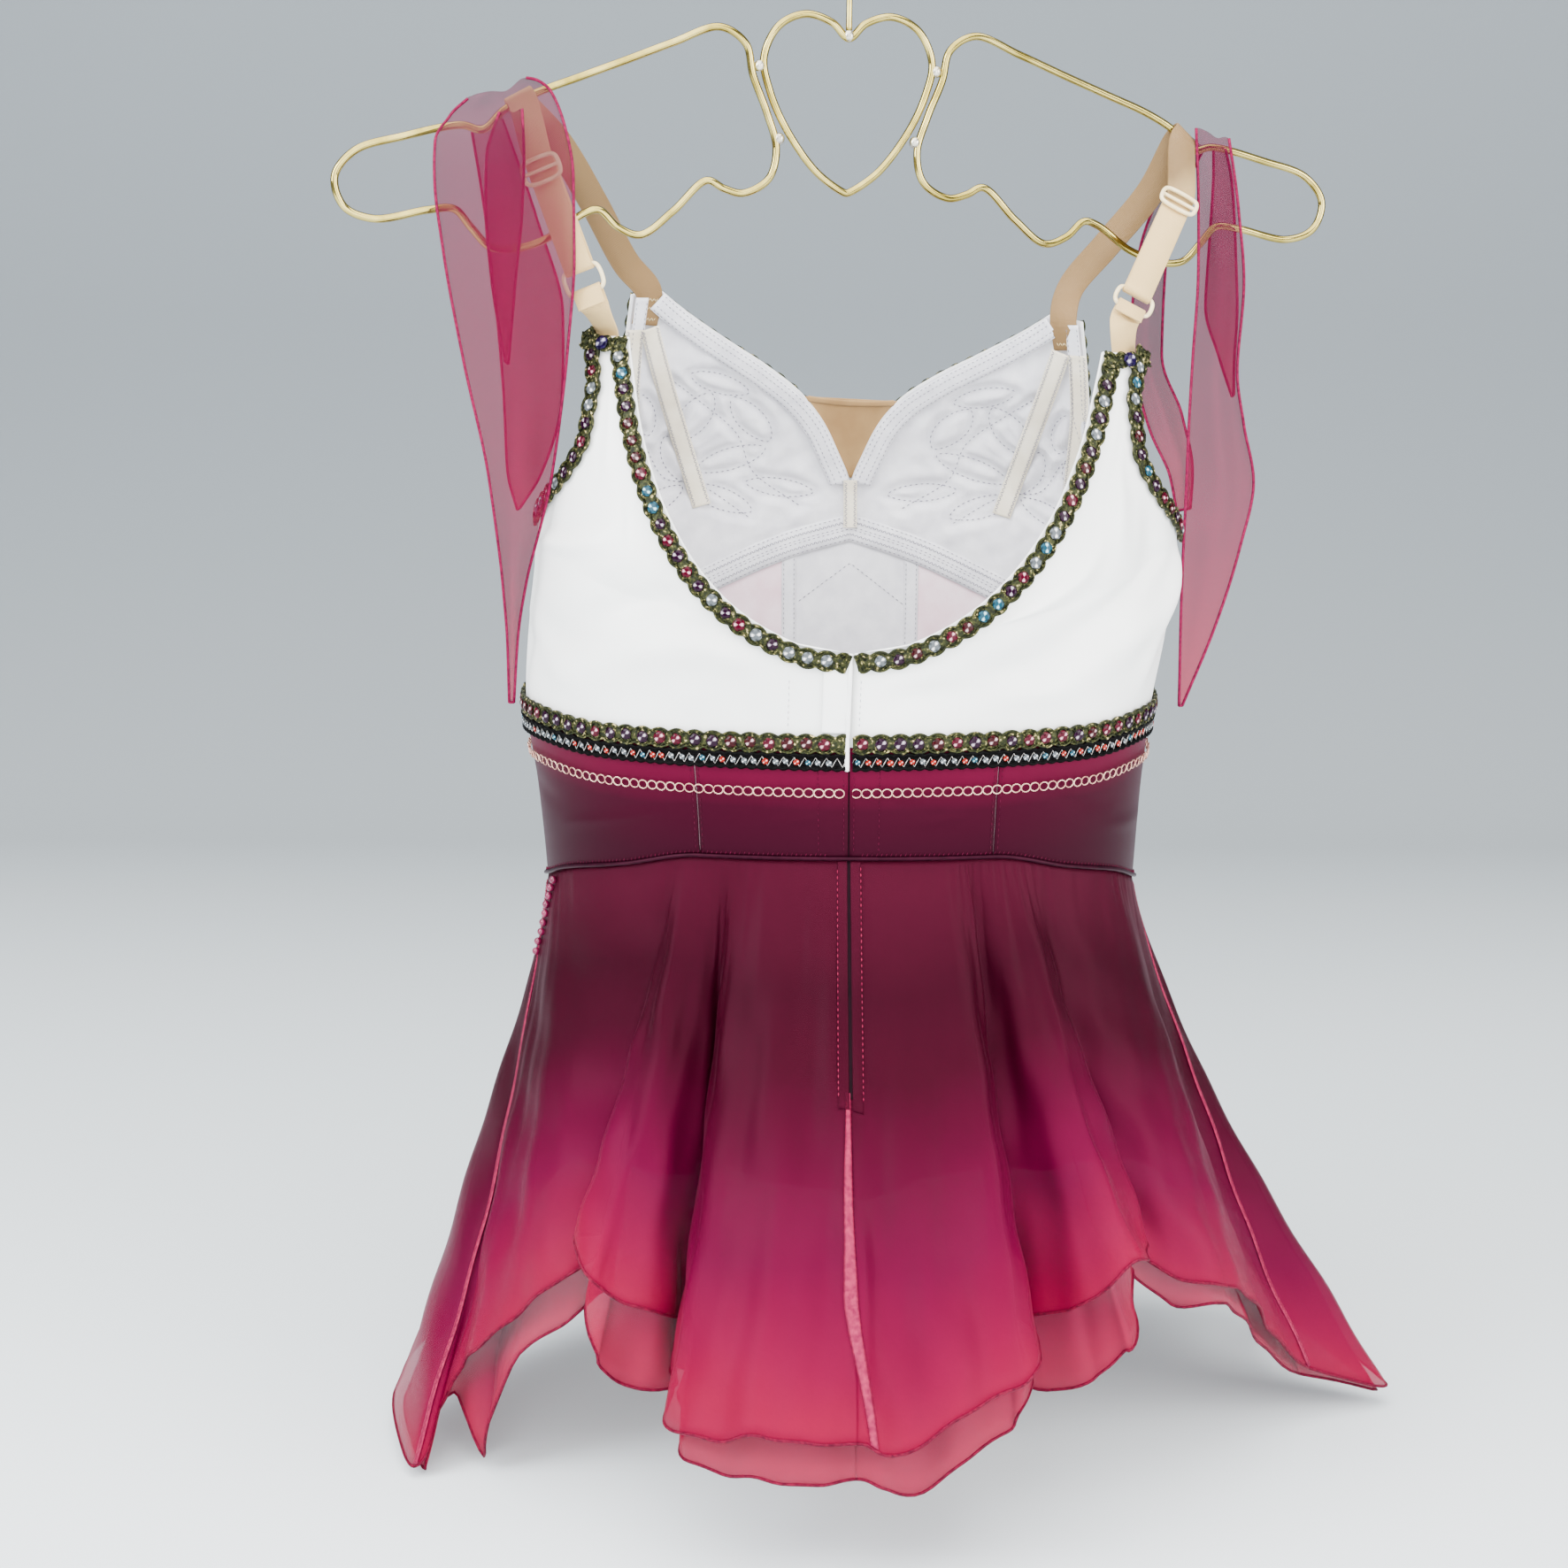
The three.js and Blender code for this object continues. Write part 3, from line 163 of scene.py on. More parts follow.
def piece(name, shells, look, stands_for=(), smooth=True, values=None):
    """One mesh in metres from shells, each an array of points in millimetres and an array of
    corners that counts from the shell's own first point. Values are kept for the points."""
    points = np.concatenate([p.reshape(-1, 3) for p, _ in shells]).astype(np.float32) * 0.001
    starts = np.concatenate([[0], np.cumsum([len(p.reshape(-1, 3)) for p, _ in shells])[:-1]])
    corners = np.concatenate([(f + s).ravel() for (_, f), s in zip(shells, starts)]).astype(np.int32)
    sizes = np.concatenate([np.full(len(f), f.shape[1]) for _, f in shells])
    mesh = bpy.data.meshes.new(name)
    mesh.vertices.add(len(points))
    mesh.vertices.foreach_set("co", points.ravel())
    mesh.loops.add(len(corners))
    mesh.loops.foreach_set("vertex_index", corners)
    mesh.polygons.add(len(sizes))
    mesh.polygons.foreach_set("loop_start", (np.cumsum(sizes) - sizes).astype(np.int32))
    mesh.polygons.foreach_set("use_smooth", np.full(len(sizes), smooth))
    for key, value in (values or {}).items():
        kind, field = ("FLOAT_COLOR", "color") if value.shape[-1] == 4 else ("FLOAT_VECTOR", "vector")
        kept = mesh.attributes.new(key, kind, "POINT")
        kept.data.foreach_set(field, value.astype(np.float32).ravel())
    mesh.update(calc_edges=True)
    mesh.materials.append(look)
    made = bpy.data.objects.new(name, mesh)
    bpy.context.scene.collection.objects.link(made)
    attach(made, "root")
    if stands_for:
        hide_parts(*stands_for)
    return made


def finish_of(name, **sockets):
    """A Principled material with its constants set on the shader's own sockets."""
    look = bpy.data.materials.new(name)
    look.use_nodes = True
    shader = look.node_tree.nodes["Principled BSDF"]
    for socket, value in sockets.items():
        shader.inputs[socket.replace("_", " ")].default_value = value
    return look, look.node_tree, shader


def node(tree, kind, given=(), **settings):
    """A shader node; what is given goes to its sockets by name or number, linked or as a value."""
    made = tree.nodes.new("ShaderNode" + kind)
    for key, value in settings.items():
        setattr(made, key, value)
    for key, value in dict(given).items():
        if isinstance(value, bpy.types.NodeSocket):
            tree.links.new(value, made.inputs[key])
        else:
            made.inputs[key].default_value = value
    return made.outputs


def dye(red, green, blue):
    """A colour given as eight-bit numbers, made linear."""
    parts = [part / 255 for part in (red, green, blue)]
    return tuple(p / 12.92 if p <= 0.04045 else ((p + 0.055) / 1.055) ** 2.4 for p in parts)


def dyed(tree, shader, share, stops):
    """The base colour as a ramp over a share, from stops of place and dye."""
    ramp = tree.nodes.new("ShaderNodeValToRGB")
    while len(ramp.color_ramp.elements) < len(stops):
        ramp.color_ramp.elements.new(0.5)
    for element, (place, colour) in zip(ramp.color_ramp.elements, stops):
        element.position = place
        element.color = (*dye(*colour), 1)
    tree.links.new(share, ramp.inputs[0])
    tree.links.new(ramp.outputs[0], shader.inputs["Base Color"])


def bump(tree, shader, height, strength, distance):
    """The height raises or lowers the surface by that distance in metres."""
    out = node(tree, "Bump", {"Height": height, "Strength": strength, "Distance": distance})
    tree.links.new(out["Normal"], shader.inputs["Normal"])


def noise_of(tree, scale, detail):
    """Soft noise on the object's own coordinates."""
    place = node(tree, "TexCoord")["Object"]
    return node(tree, "TexNoise", {"Vector": place, "Scale": scale, "Detail": detail})["Fac"]


def mottled(name, scale, detail, stops, raised=None, **sockets):
    """A material dyed by soft noise, which also raises it by a strength and a distance."""
    look, tree, shader = finish_of(name, **sockets)
    noise = noise_of(tree, scale, detail)
    dyed(tree, shader, noise, stops)
    if raised:
        bump(tree, shader, noise, *raised)
    return look


def on_hanger(flat):
    """A point of the hanger's own plane, rolled by its roll and turned by its yaw."""
    u, z = flat[:, 0], flat[:, 1]
    roll, yaw = math.radians(HANGER_ROLL), math.radians(HANGER_YAW)
    across = u * math.cos(roll) + z * math.sin(roll)
    up = z * math.cos(roll) - u * math.sin(roll)
    return np.stack([across * math.cos(yaw), across * math.sin(yaw), up], axis=1)


HANGER_FRONT = np.array([-math.sin(math.radians(HANGER_YAW)), math.cos(math.radians(HANGER_YAW)), 0])
HOOK_STEPS = 160
gold_wire = mottled(
    "gold_wire", 90.0, 3.0, [(0.3, (142, 126, 58)), (0.7, (186, 170, 100))], (0.08, 0.0004),
    Metallic=1.0, Roughness=0.1,
)


def wire_piece(name, path, radius, closed):
    """A bent wire of the hanger, round, with its across in the hanger's plane."""
    shells = tube(path, radius, 12, closed, HANGER_FRONT)
    piece(name, shells, gold_wire, [f"hanger_{name}"])


for side, sign in (("left", -1), ("right", 1)):
    wire_piece(f"wing_{side}", on_hanger(smooth_line(WING * [sign, 1], 420, True)), WIRE, True)
heart = np.concatenate([HEART, HEART[1:-1][::-1] * [-1, 1]])
wire_piece("heart", on_hanger(smooth_line(heart, 260, True)), WIRE, True)
past = (np.arange(HOOK_STEPS) - HOOK_STEPS + 4).clip(0) / 3.2
tip = HOOK_WIRE * np.sqrt(np.clip(1 - past ** 2, 0.02, 1))
wire_piece("hook", on_hanger(smooth_line(HOOK, HOOK_STEPS)), tip, False)


def counted_on(faces, size, count):
    """One thing's faces for each of a number of like things, each of so many points."""
    return (faces + (np.arange(count) * size)[:, None, None]).reshape(-1, faces.shape[1])


def beads(centres, radii):
    """Balls as an array: each ring's radius is the sine of its angle from the pole."""
    n, m = 12, 8
    turn = np.arange(n) / n * 2 * np.pi
    rise = (np.arange(1, m) / m * np.pi)[:, None]
    rings = (np.sin(rise) * np.cos(turn), np.sin(rise) * np.sin(turn), -np.cos(rise))
    rings = np.stack(np.broadcast_arrays(*rings), -1).reshape(-1, 3)
    ball = np.concatenate([[(0, 0, -1)], rings, [(0, 0, 1)]])
    i, k = np.meshgrid(np.arange(m - 2), np.arange(n), indexing="ij")
    a, b = 1 + i * n + k, 1 + i * n + (k + 1) % n
    k, l = np.arange(n), (np.arange(n) + 1) % n
    top = len(ball) - 1
    low = np.stack([np.zeros(n, int), 1 + l, 1 + k], -1)
    high = np.stack([np.full(n, top), top - n + k, top - n + l], -1)
    belts = [np.stack([a, b, b + n], -1).reshape(-1, 3), np.stack([a, b + n, a + n], -1).reshape(-1, 3)]
    points = centres[:, None] + ball * radii
    return points.reshape(-1, 3), counted_on(np.concatenate([*belts, low, high]), len(ball), len(centres))


solder = mottled(
    "solder", 400.0, 3.0, [(0.3, (150, 146, 132)), (0.7, (222, 218, 204))], (0.4, 0.0003),
    Metallic=1.0, Roughness=0.3,
)
welds = [(36.8, -117.5), (-36.8, -117.5), (28.4, -146.0), (-28.4, -146.0), (0.0, -104.5)]
piece("welds", [beads(on_hanger(np.array(welds)), (2.3, 2.3, 2.5))], solder)


# ---- Body of the dress ----
# The form that every panel is cut to: an egg-shaped torso with two cups, tilted as it hangs.
TORSO_Z = [-470, -455, -412, -378, -340, -298, -262, -235, -205]
TORSO_HALF = [122.5, 123.3, 126.5, 130.5, 132.5, 132, 129, 124, 117]
TORSO_BACK = [81, 81, 84, 86, 85, 79, 67, 55, 44]
TORSO_FRONT = [74, 74, 75, 77, 80, 80, 73, 62, 50]
TORSO_OFF = [-4, -4, -4.5, -5.3, -2.5, 0, 0, 0, 0]
UNDERBUST = [
    (0, 45, 66, 90, 112, 134, 150, 168, 180),
    (-384, -382.5, -379, -377, -367, -348.5, -334, -316.5, -308),
]
WAIST = [(0, 27, 43, 60, 75, 90, 120, 180), (-428.5, -428.8, -435, -440.5, -447, -451, -453.5, -455)]


def follow(at, value):
    """A cubic line through the values that never overshoots: its slope at each is the harmonic
    mean of the rises beside it, or nothing where they differ in sign."""
    at, value = np.asarray(at, float), np.asarray(value, float)
    width = np.diff(at)
    rise = np.diff(value) / width
    before, after = rise[:-1], rise[1:]
    total = np.where(before + after == 0, 1, before + after)
    slope = np.concatenate([rise[:1], np.where(before * after > 0, 2 * before * after / total, 0), rise[-1:]])

    def line(x):
        x = np.clip(x, at[0], at[-1])
        i = np.clip(np.searchsorted(at, x, side="right") - 1, 0, len(at) - 2)
        t = (x - at[i]) / width[i]
        ease = t * t * (3 - 2 * t)
        start = t * (1 - t) ** 2 * width[i] * slope[i]
        end = t * t * (t - 1) * width[i] * slope[i + 1]
        return value[i] + (value[i + 1] - value[i]) * ease + start + end

    return line


def folded(angle):
    """The angle from the centre back on either side, from 0 to 180."""
    return np.abs((angle + 180) % 360 - 180)


half_at, back_at, front_at, off_at = (
    follow(TORSO_Z, column) for column in (TORSO_HALF, TORSO_BACK, TORSO_FRONT, TORSO_OFF)
)
underbust_line, waist_line = follow(*UNDERBUST), follow(*WAIST)


def underbust(angle):
    """The height of the seam under the bust."""
    return underbust_line(folded(angle))


def waist(angle):
    """The height of the waist seam."""
    return waist_line(folded(angle))


def skin(angle, height):
    """Across is the sine of the angle times the half width, and back the cosine times the depth,
    both a little squared; each cup adds a bell; the top leans right and its right side drops."""
    turn = np.radians(angle)
    square = 1 + 0.035 * np.sin(2 * turn) ** 2
    aside = (180 - folded(angle) - 38) / 20
    cup = 9 * np.exp(-(aside ** 2) - ((height + 285) / 30) ** 2)
    depth = np.where(np.cos(turn) > 0, back_at(height), front_at(height) + cup)
    x = off_at(height) * np.sin(turn) ** 2 + half_at(height) * np.sin(turn) * square
    tilt = np.maximum(0, height + 384) / 150
    shift = 5.5 * (1 + np.minimum(0, np.cos(turn)))
    drop = 0.024 + 0.036 * (1 - np.cos(turn)) / 2
    return np.stack([x + shift * tilt, -depth * np.cos(turn) * square, height - drop * tilt * x], axis=-1)


def torso(angle, height, out=0.0):
    """The body's surface moved out along its normal, which is across crossed with up."""
    angle, height, out = np.broadcast_arrays(*(np.asarray(a, float) for a in (angle, height, out)))
    across = skin(angle + 0.2, height) - skin(angle - 0.2, height)
    up = skin(angle, height + 0.2) - skin(angle, height - 0.2)
    return skin(angle, height) + unit(np.cross(across, up)) * out[..., None]


def normals_of(grid):
    """At each point, the way across crossed with the way up."""
    return unit(np.cross(np.gradient(grid, axis=0), np.gradient(grid, axis=1)))


def wall(grid, thick):
    """A closed wall: its outer side is the grid, its inner side lies behind it by the thickness,
    and a strip of faces joins them along each edge."""
    n, m = grid.shape[:2]
    inner = grid - normals_of(grid) * np.broadcast_to(thick, (n, m))[..., None]
    points = np.concatenate([grid.reshape(-1, 3), inner.reshape(-1, 3)])
    index = np.arange(n * m).reshape(n, m)
    a, b, c, d = index[:-1, :-1], index[1:, :-1], index[1:, 1:], index[:-1, 1:]
    far = n * m
    faces = [np.stack([a, b, c, d], -1), np.stack([a, d, c, b], -1) + far]
    for rim in (index[::-1, 0], index[:, -1], index[0], index[-1, ::-1]):
        faces.append(np.stack([rim[:-1], rim[1:], rim[1:] + far, rim[:-1] + far], -1))
    return points, np.concatenate([f.reshape(-1, 4) for f in faces])


def measured(grid, share=None):
    """For each point of a grid's wall, metres across and up the cloth, and a share up it."""
    across = np.cumsum(np.linalg.norm(np.diff(grid, axis=0, prepend=grid[:1]), axis=-1), axis=0)
    up = np.cumsum(np.linalg.norm(np.diff(grid, axis=1, prepend=grid[:, :1]), axis=-1), axis=1)
    share = np.linspace(0, 1, grid.shape[1]) if share is None else share
    share = np.broadcast_to(share, grid.shape[:2])
    one = np.stack([across * 0.001, up * 0.001, share], axis=-1).reshape(-1, 3)
    return {"cut": np.concatenate([one, one])}


def cloth(name, grid, thick, look, stands_for=(), share=None):
    """A grid's wall as a piece that keeps the cut of its cloth for the threads and dyes."""
    return piece(name, [wall(grid, thick)], look, stands_for, values=measured(grid, share))


def weave(tree, threads, slub=0.3):
    """The cut, and threads across and up it, so many to a metre, as the sum of two waves."""
    cut = node(tree, "Attribute", attribute_name="cut")["Vector"]
    given = {"Vector": cut, "Scale": threads, "Distortion": slub}
    across, along = (node(tree, "TexWave", given, bands_direction=way)["Fac"] for way in "XY")
    return cut, node(tree, "Math", {0: across, 1: along}, operation="ADD")["Value"]


def shares(n, m):
    """The share across a grid and the share up it, from 0 to 1."""
    return np.meshgrid(np.linspace(0, 1, n), np.linspace(0, 1, m), indexing="ij")


def creased(grid, creases):
    """Each crease is a trough or ridge: a bell across the line from one place of the grid to
    another, both given in shares, that fades to nothing at the line's ends. All of them fade
    between 18 and 9 mm from the grid's border, where a trim may lie."""
    u, v = shares(*grid.shape[:2])
    rise = np.zeros(u.shape)
    for u0, v0, u1, v1, width, height in creases:
        way = np.array([u1 - u0, v1 - v0])
        length = np.hypot(*way)
        along = ((u - u0) * way[0] + (v - v0) * way[1]) / length ** 2
        aside = ((u - u0) * way[1] - (v - v0) * way[0]) / length
        aside = aside + 0.25 * width * np.sin(along * 5 + u0 * 9)
        rise += height * np.exp(-((aside / width) ** 2)) * np.clip(1 - (2 * along - 1) ** 2, 0, None)
    border = np.concatenate([grid[0], grid[-1], grid[:, 0], grid[:, -1]])
    inset = np.linalg.norm(grid[:, :, None] - border, axis=-1).min(axis=-1)
    return grid + normals_of(grid) * (rise * np.clip((inset - 9) / 9, 0, 1))[..., None]


# ---- White satin bodice ----
# Four panels of heavy duchess satin, bagged out along the neck and armholes and sewn at the
# sides; their lower edges are sewn to the midriff. The back ones meet at the centre back.
CLOTH = 1.2
SEAM = 0.3
SEAM_ANGLE = 0.12
BACK_PANEL = np.array([
    (0, -384, 90, -377), (0, -371, 90, -357), (0, -358, 90, -337), (0, -347.5, 90, -318),
    (7, -345, 90, -300.5), (14, -338.5, 80, -295.5), (20, -330, 70, -288.5), (27, -315, 62, -279),
    (33, -296, 57.5, -266), (39, -271, 57.5, -252), (44, -246, 60, -240), (48, -228.5, 65, -228.5),
])
FRONT_PANEL = np.array([
    (90, -377, 180, -308), (90, -357, 180, -302), (90, -338, 180, -296), (90, -319, 180, -289),
    (90, -300.5, 177.6, -275), (104, -294, 174.8, -262.5), (118, -284, 170.5, -251),
    (127, -268, 163.5, -240), (129.5, -250, 155, -230), (129, -232, 145.5, -219.5),
    (128.5, -213, 137.5, -210.5),
])


def panel_area(rows):
    """Angle and height over a panel: straight across between its two edges, and its lower edge
    on the under-bust seam, whose curve fades over the first four rows."""
    inner, inner_z, outer, outer_z = (follow(np.arange(len(rows)), rows[:, k]) for k in range(4))

    def area(u, v):
        row = v * (len(rows) - 1)
        angle = inner(row) + SEAM_ANGLE + (outer(row) - inner(row) - 2 * SEAM_ANGLE) * u
        straight = inner_z(row) + (outer_z(row) - inner_z(row)) * u
        bow = underbust(angle) - (rows[0, 1] + (rows[0, 3] - rows[0, 1]) * u)
        return angle, straight + (bow + SEAM / 2) * np.maximum(0, 1 - row / 4) ** 2

    return area


back_area, front_area = panel_area(BACK_PANEL), panel_area(FRONT_PANEL)


def mirrored(area):
    """The same panel on the left: its share across and its angle are turned round."""
    def turned(u, v):
        angle, height = area(1 - u, v)
        return -angle, height
    return turned


SIDES = (("left", mirrored, -1), ("right", lambda area: area, 1))


def laid_on(area, n, m, out):
    """A grid of a panel's points, moved out by a distance."""
    return torso(*area(*shares(n, m)), out)


def woven(name, threads, noise, stops, raised, puckered=False, **sockets):
    """Cloth dyed by soft noise of a scale and detail. Its threads raise it by a strength and a
    distance, together with the noise where it is puckered."""
    look, tree, shader = finish_of(name, **sockets)
    height = weave(tree, threads)[1]
    clouds = noise_of(tree, *noise)
    dyed(tree, shader, clouds, stops)
    if puckered:
        height = node(tree, "Math", {0: height, 1: clouds}, operation="ADD")["Value"]
    bump(tree, shader, height, *raised)
    return look


satin = woven(
    "white_satin", 900.0, (14.0, 3.0), [(0.3, (228, 230, 228)), (0.7, (246, 247, 245))], (0.12, 0.0001),
    Roughness=0.36, Sheen_Weight=0.2, Sheen_Roughness=0.4, Specular_IOR_Level=0.5,
)

BACK_CREASES = [
    (0.0, 0.1, 0.6, 0.2, 0.045, -2.8), (0.3, 0.1, 1.1, 0.35, 0.045, 3.4), (0.1, 0.25, 0.55, 0.65, 0.05, 2.8),
    (0.5, 0.3, 1.0, 0.65, 0.05, -3.2), (0.65, 0.0, 1.0, 0.55, 0.04, 2.6), (0.0, 0.2, 0.5, 0.08, 0.035, 1.8),
    (0.3, 0.7, 0.7, 1.0, 0.08, 0.8), (0.2, 0.1, 0.8, 0.45, 0.04, -2.6), (0.45, 0.4, 0.75, 0.75, 0.06, 2.0),
]
FRONT_CREASES = [
    (0.1, 0.05, 0.4, 0.3, 0.06, -0.8), (0.3, 0.2, 0.8, 0.12, 0.05, 0.8), (0.2, 0.6, 0.6, 0.45, 0.07, 0.7),
    (0.85, 0.05, 0.6, 0.35, 0.05, -0.7),
]
for side, turn, _ in SIDES:
    grid = creased(laid_on(turn(back_area), 60, 60, CLOTH), BACK_CREASES)
    back = cloth(f"satin_back_{side}", grid, CLOTH, satin, [f"back_{side}"])
    grid = creased(laid_on(turn(front_area), 60, 60, CLOTH), FRONT_CREASES)
    front = cloth(f"satin_front_{side}", grid, CLOTH, satin, [f"front_{side}"])


# ---- Lining ----
# White cotton drill behind the front cups, quilted by machine in a plain leaf scroll, and behind
# the front of the midriff. Its edges are bound, and tapes cover the bones and the seams.
PUCKERED = {"puckered": True, "Roughness": 0.75, "Sheen_Weight": 0.2}
lining = woven(
    "quilted_lining", 1100.0, (120.0, 4.0), [(0.3, (212, 212, 219)), (0.7, (232, 232, 237))],
    (0.3, 0.0004), **PUCKERED,
)
PRINCESS_BACK, PRINCESS_FRONT = 27, 168
LINING_FROM = 123


def band(start, end, low=waist, high=underbust):
    """Angle and height over a band of the body between two angles and two lines round it."""
    def area(u, v):
        angle = start + SEAM_ANGLE + (end - start - 2 * SEAM_ANGLE) * u
        bottom, top = low(angle) + SEAM / 2, high(angle) - SEAM / 2
        return angle, bottom + (top - bottom) * v
    return area


def ribbon(points, outwards):
    """A line on the cloth with its length, its way out and its way across."""
    along = unit(np.gradient(points, axis=0))
    outwards = unit(outwards - along * np.sum(outwards * along, axis=1, keepdims=True))
    return {"far": lengths(points), "at": points, "out": outwards, "across": np.cross(outwards, along)}


def beside(line, far, across, out):
    """Points at a distance along a ribbon, then so far across it and out from it."""
    at, sideways, outwards = (
        np.stack([np.interp(far, line["far"], line[key][:, k]) for k in range(3)], axis=-1)
        for key in ("at", "across", "out")
    )
    return at + sideways * np.asarray(across)[..., None] + outwards * np.asarray(out)[..., None]


def stitches(line, far, across, out, length, wide, turn=0.0):
    """Each stitch is a spindle of six points: two ends along the ribbon, turned by an angle, and
    four round its middle."""
    x = np.array([-1, 0, 0, 0, 0, 1]) * length / 2
    y = np.array([0, 1, 0, -1, 0, 0]) * wide / 2
    z = np.array([0, 0, 1, 0, -1, 0]) * wide / 2
    turn = np.broadcast_to(turn, np.shape(far))[:, None]
    along = x * np.cos(turn) - y * np.sin(turn)
    aside = x * np.sin(turn) + y * np.cos(turn)
    across = np.broadcast_to(across, np.shape(far))[:, None]
    points = beside(line, far[:, None] + along, across + aside, out + np.broadcast_to(z, along.shape))
    middle = [(2, 1), (3, 2), (4, 3), (1, 4)]
    one = np.array([(0, a, b) for a, b in middle] + [(5, b, a) for a, b in middle])
    return points.reshape(-1, 3), counted_on(one, 6, len(far))


END_GAP = 1.0


def row_of(line, step, across=0.0, out=0.15, length=1.6, wide=0.34):
    """One straight row of stitches along a ribbon."""
    far = np.arange(END_GAP, line["far"][-1] - END_GAP, step)
    return stitches(line, far, across, out, length, wide)


def zigzag(line, step, wide_row, across=0.0, out=0.15, wide=0.32):
    """A row whose stitches lean one way and then the other."""
    far = np.arange(END_GAP, line["far"][-1] - END_GAP, step / 2)
    lean = np.where(np.arange(len(far)) % 2 == 0, 1, -1) * math.atan2(wide_row, step / 2)
    return stitches(line, far, across, out, math.hypot(wide_row, step / 2), wide, lean)


def edge_ribbon(area, first, rows, inner, width, out):
    """A ribbon that lies within one edge of a panel by half its width, from a row up to the top.
    It faces outwards where it lies outside the body, and inwards where it lies inside."""
    v = np.linspace(first / (len(rows) - 1), 1, 200)
    angle, height = area(np.full_like(v, 0.0 if inner else 1.0), v)
    edge, face = torso(angle, height, out), math.copysign(1, out)
    line = ribbon(edge, torso(angle, height, out + face) - edge)
    middle = torso(*area(np.full_like(v, 0.5), v), out)
    into = np.sign(np.sum((middle - edge) * line["across"]))
    return ribbon(edge + line["across"] * into * width / 2, line["out"])


def inside_line(angle, height, out):
    """A ribbon on the inner side of the body, whose way out points into the hollow."""
    points = torso(angle, height, out)
    return ribbon(points, torso(angle, height, out - 1) - points)


# White thread coloured dark grey: painted shade of the grooves its stitches pull into the cloth.
thread_painted_grey = mottled(
    "white_thread_painted_grey", 1500.0, 2.0, [(0.3, (74, 72, 92)), (0.7, (124, 122, 142))],
    Roughness=0.55, Sheen_Weight=0.4,
)

# The scroll: each leaf's middle in degrees from the centre front and in height, its half length
# and half width in millimetres, and its turn in degrees.
LEAVES = [
    (20, -262, 11, 4.5, 60), (27, -247, 10, 4, 20), (32, -262, 12, 5, 115), (24, -280, 12, 4.5, 150),
    (36, -281, 11, 4.5, 70), (14, -292, 10, 4, 10), (26, -298, 11, 4.5, 30), (40, -300, 11, 4, 140),
    (44, -262, 9, 4, 80), (47, -284, 10, 4, 110),
]
STEM = smooth_line([(10, -300), (19, -286), (23, -268), (31, -255), (38, -246)], 60)
SECOND_STEM = smooth_line([(20, -306), (31, -292), (38, -290), (44, -275), (50, -268)], 60)


def scroll():
    """Leaves as pointed ovals, whose width is the sine of the turn to a power, and two stems;
    all in degrees from the centre front and in height."""
    t = np.linspace(0, 2 * np.pi, 44)
    lines = [STEM, SECOND_STEM]
    for angle, height, long, wide, turned in LEAVES:
        x, y = long * np.cos(t), wide * np.sin(t) * np.abs(np.sin(t)) ** 0.4
        a = math.radians(turned)
        across, up = x * math.cos(a) - y * math.sin(a), x * math.sin(a) + y * math.cos(a)
        lines.append(np.stack([angle + across / 1.45, height + up], 1))
    return lines


blush = woven(
    "blush_lining", 1100.0, (90.0, 4.0), [(0.3, (232, 196, 208)), (0.7, (246, 224, 232))],
    (0.3, 0.0004), **PUCKERED,
)
tape = woven(
    "cream_tape", 800.0, (70.0, 3.0), [(0.3, (216, 206, 182)), (0.7, (240, 233, 214))], (0.4, 0.0002),
    Roughness=0.6, Sheen_Weight=0.3,
)
PUFF = 2.3

for side, turn, sign in SIDES:
    u, v = shares(100, 100)
    angle, height = turn(front_area)(u, v)
    grid = torso(angle, height, -SEAM)
    lines = [(sign * 180 - sign * line[:, 0], line[:, 1]) for line in scroll()]
    sewn_at = np.concatenate([torso(a, h, -SEAM) for a, h in lines])
    nearest = np.min([
        np.linalg.norm(grid[:, :, None] - part, axis=-1).min(axis=-1)
        for part in np.array_split(sewn_at, 12)
    ], axis=0)
    swell = 1 - np.exp(-((np.maximum(nearest - 0.9, 0) / 2.0) ** 2))
    puff = PUFF * swell * np.exp(-np.maximum(nearest - 5, 0) / 8)
    wrinkle = 0.4 * np.sin(angle * 0.9 + height * 0.35) * np.sin(height * 0.21 - angle * 0.3)
    rim = np.clip(np.minimum(np.minimum(u, 1 - u), np.minimum(v, 1 - v)) / 0.1, 0, 1)
    thick = CLOTH + (puff + wrinkle) * rim
    cup = cloth(f"lining_of_cup_{side}", grid, thick, lining, [f"lining_cup_{side}"])
    quilted = [inside_line(a, h, -SEAM - CLOTH) for a, h in lines]
    quilting = [row_of(line, 2.5, out=0.75, length=1.8, wide=0.6) for line in quilted]
    piece(f"quilting_{side}", quilting, thread_painted_grey)
    grid = laid_on(turn(band(LINING_FROM, PRINCESS_FRONT)), 50, 40, -SEAM)
    stands_for = [f"lining_midriff_{side}"]
    inner = cloth(f"lining_of_midriff_{side}", grid, CLOTH, blush, stands_for)
grid = laid_on(band(PRINCESS_FRONT, 360 - PRINCESS_FRONT), 30, 40, -SEAM)
stands_for = ["lining_midriff_centre"]
inner = cloth("lining_of_midriff_centre", grid, CLOTH, lining, stands_for)


def inside_strip(line, width, thick=0.5, low=0.0):
    """A flat strip along a ribbon: five points across it, a little domed."""
    far, t = np.meshgrid(np.linspace(0, line["far"][-1], 80), np.linspace(-1, 1, 5), indexing="ij")
    return beside(line, far, t * width / 2, low + thick * (1 - 0.35 * t ** 2))


STRIP = 0.4


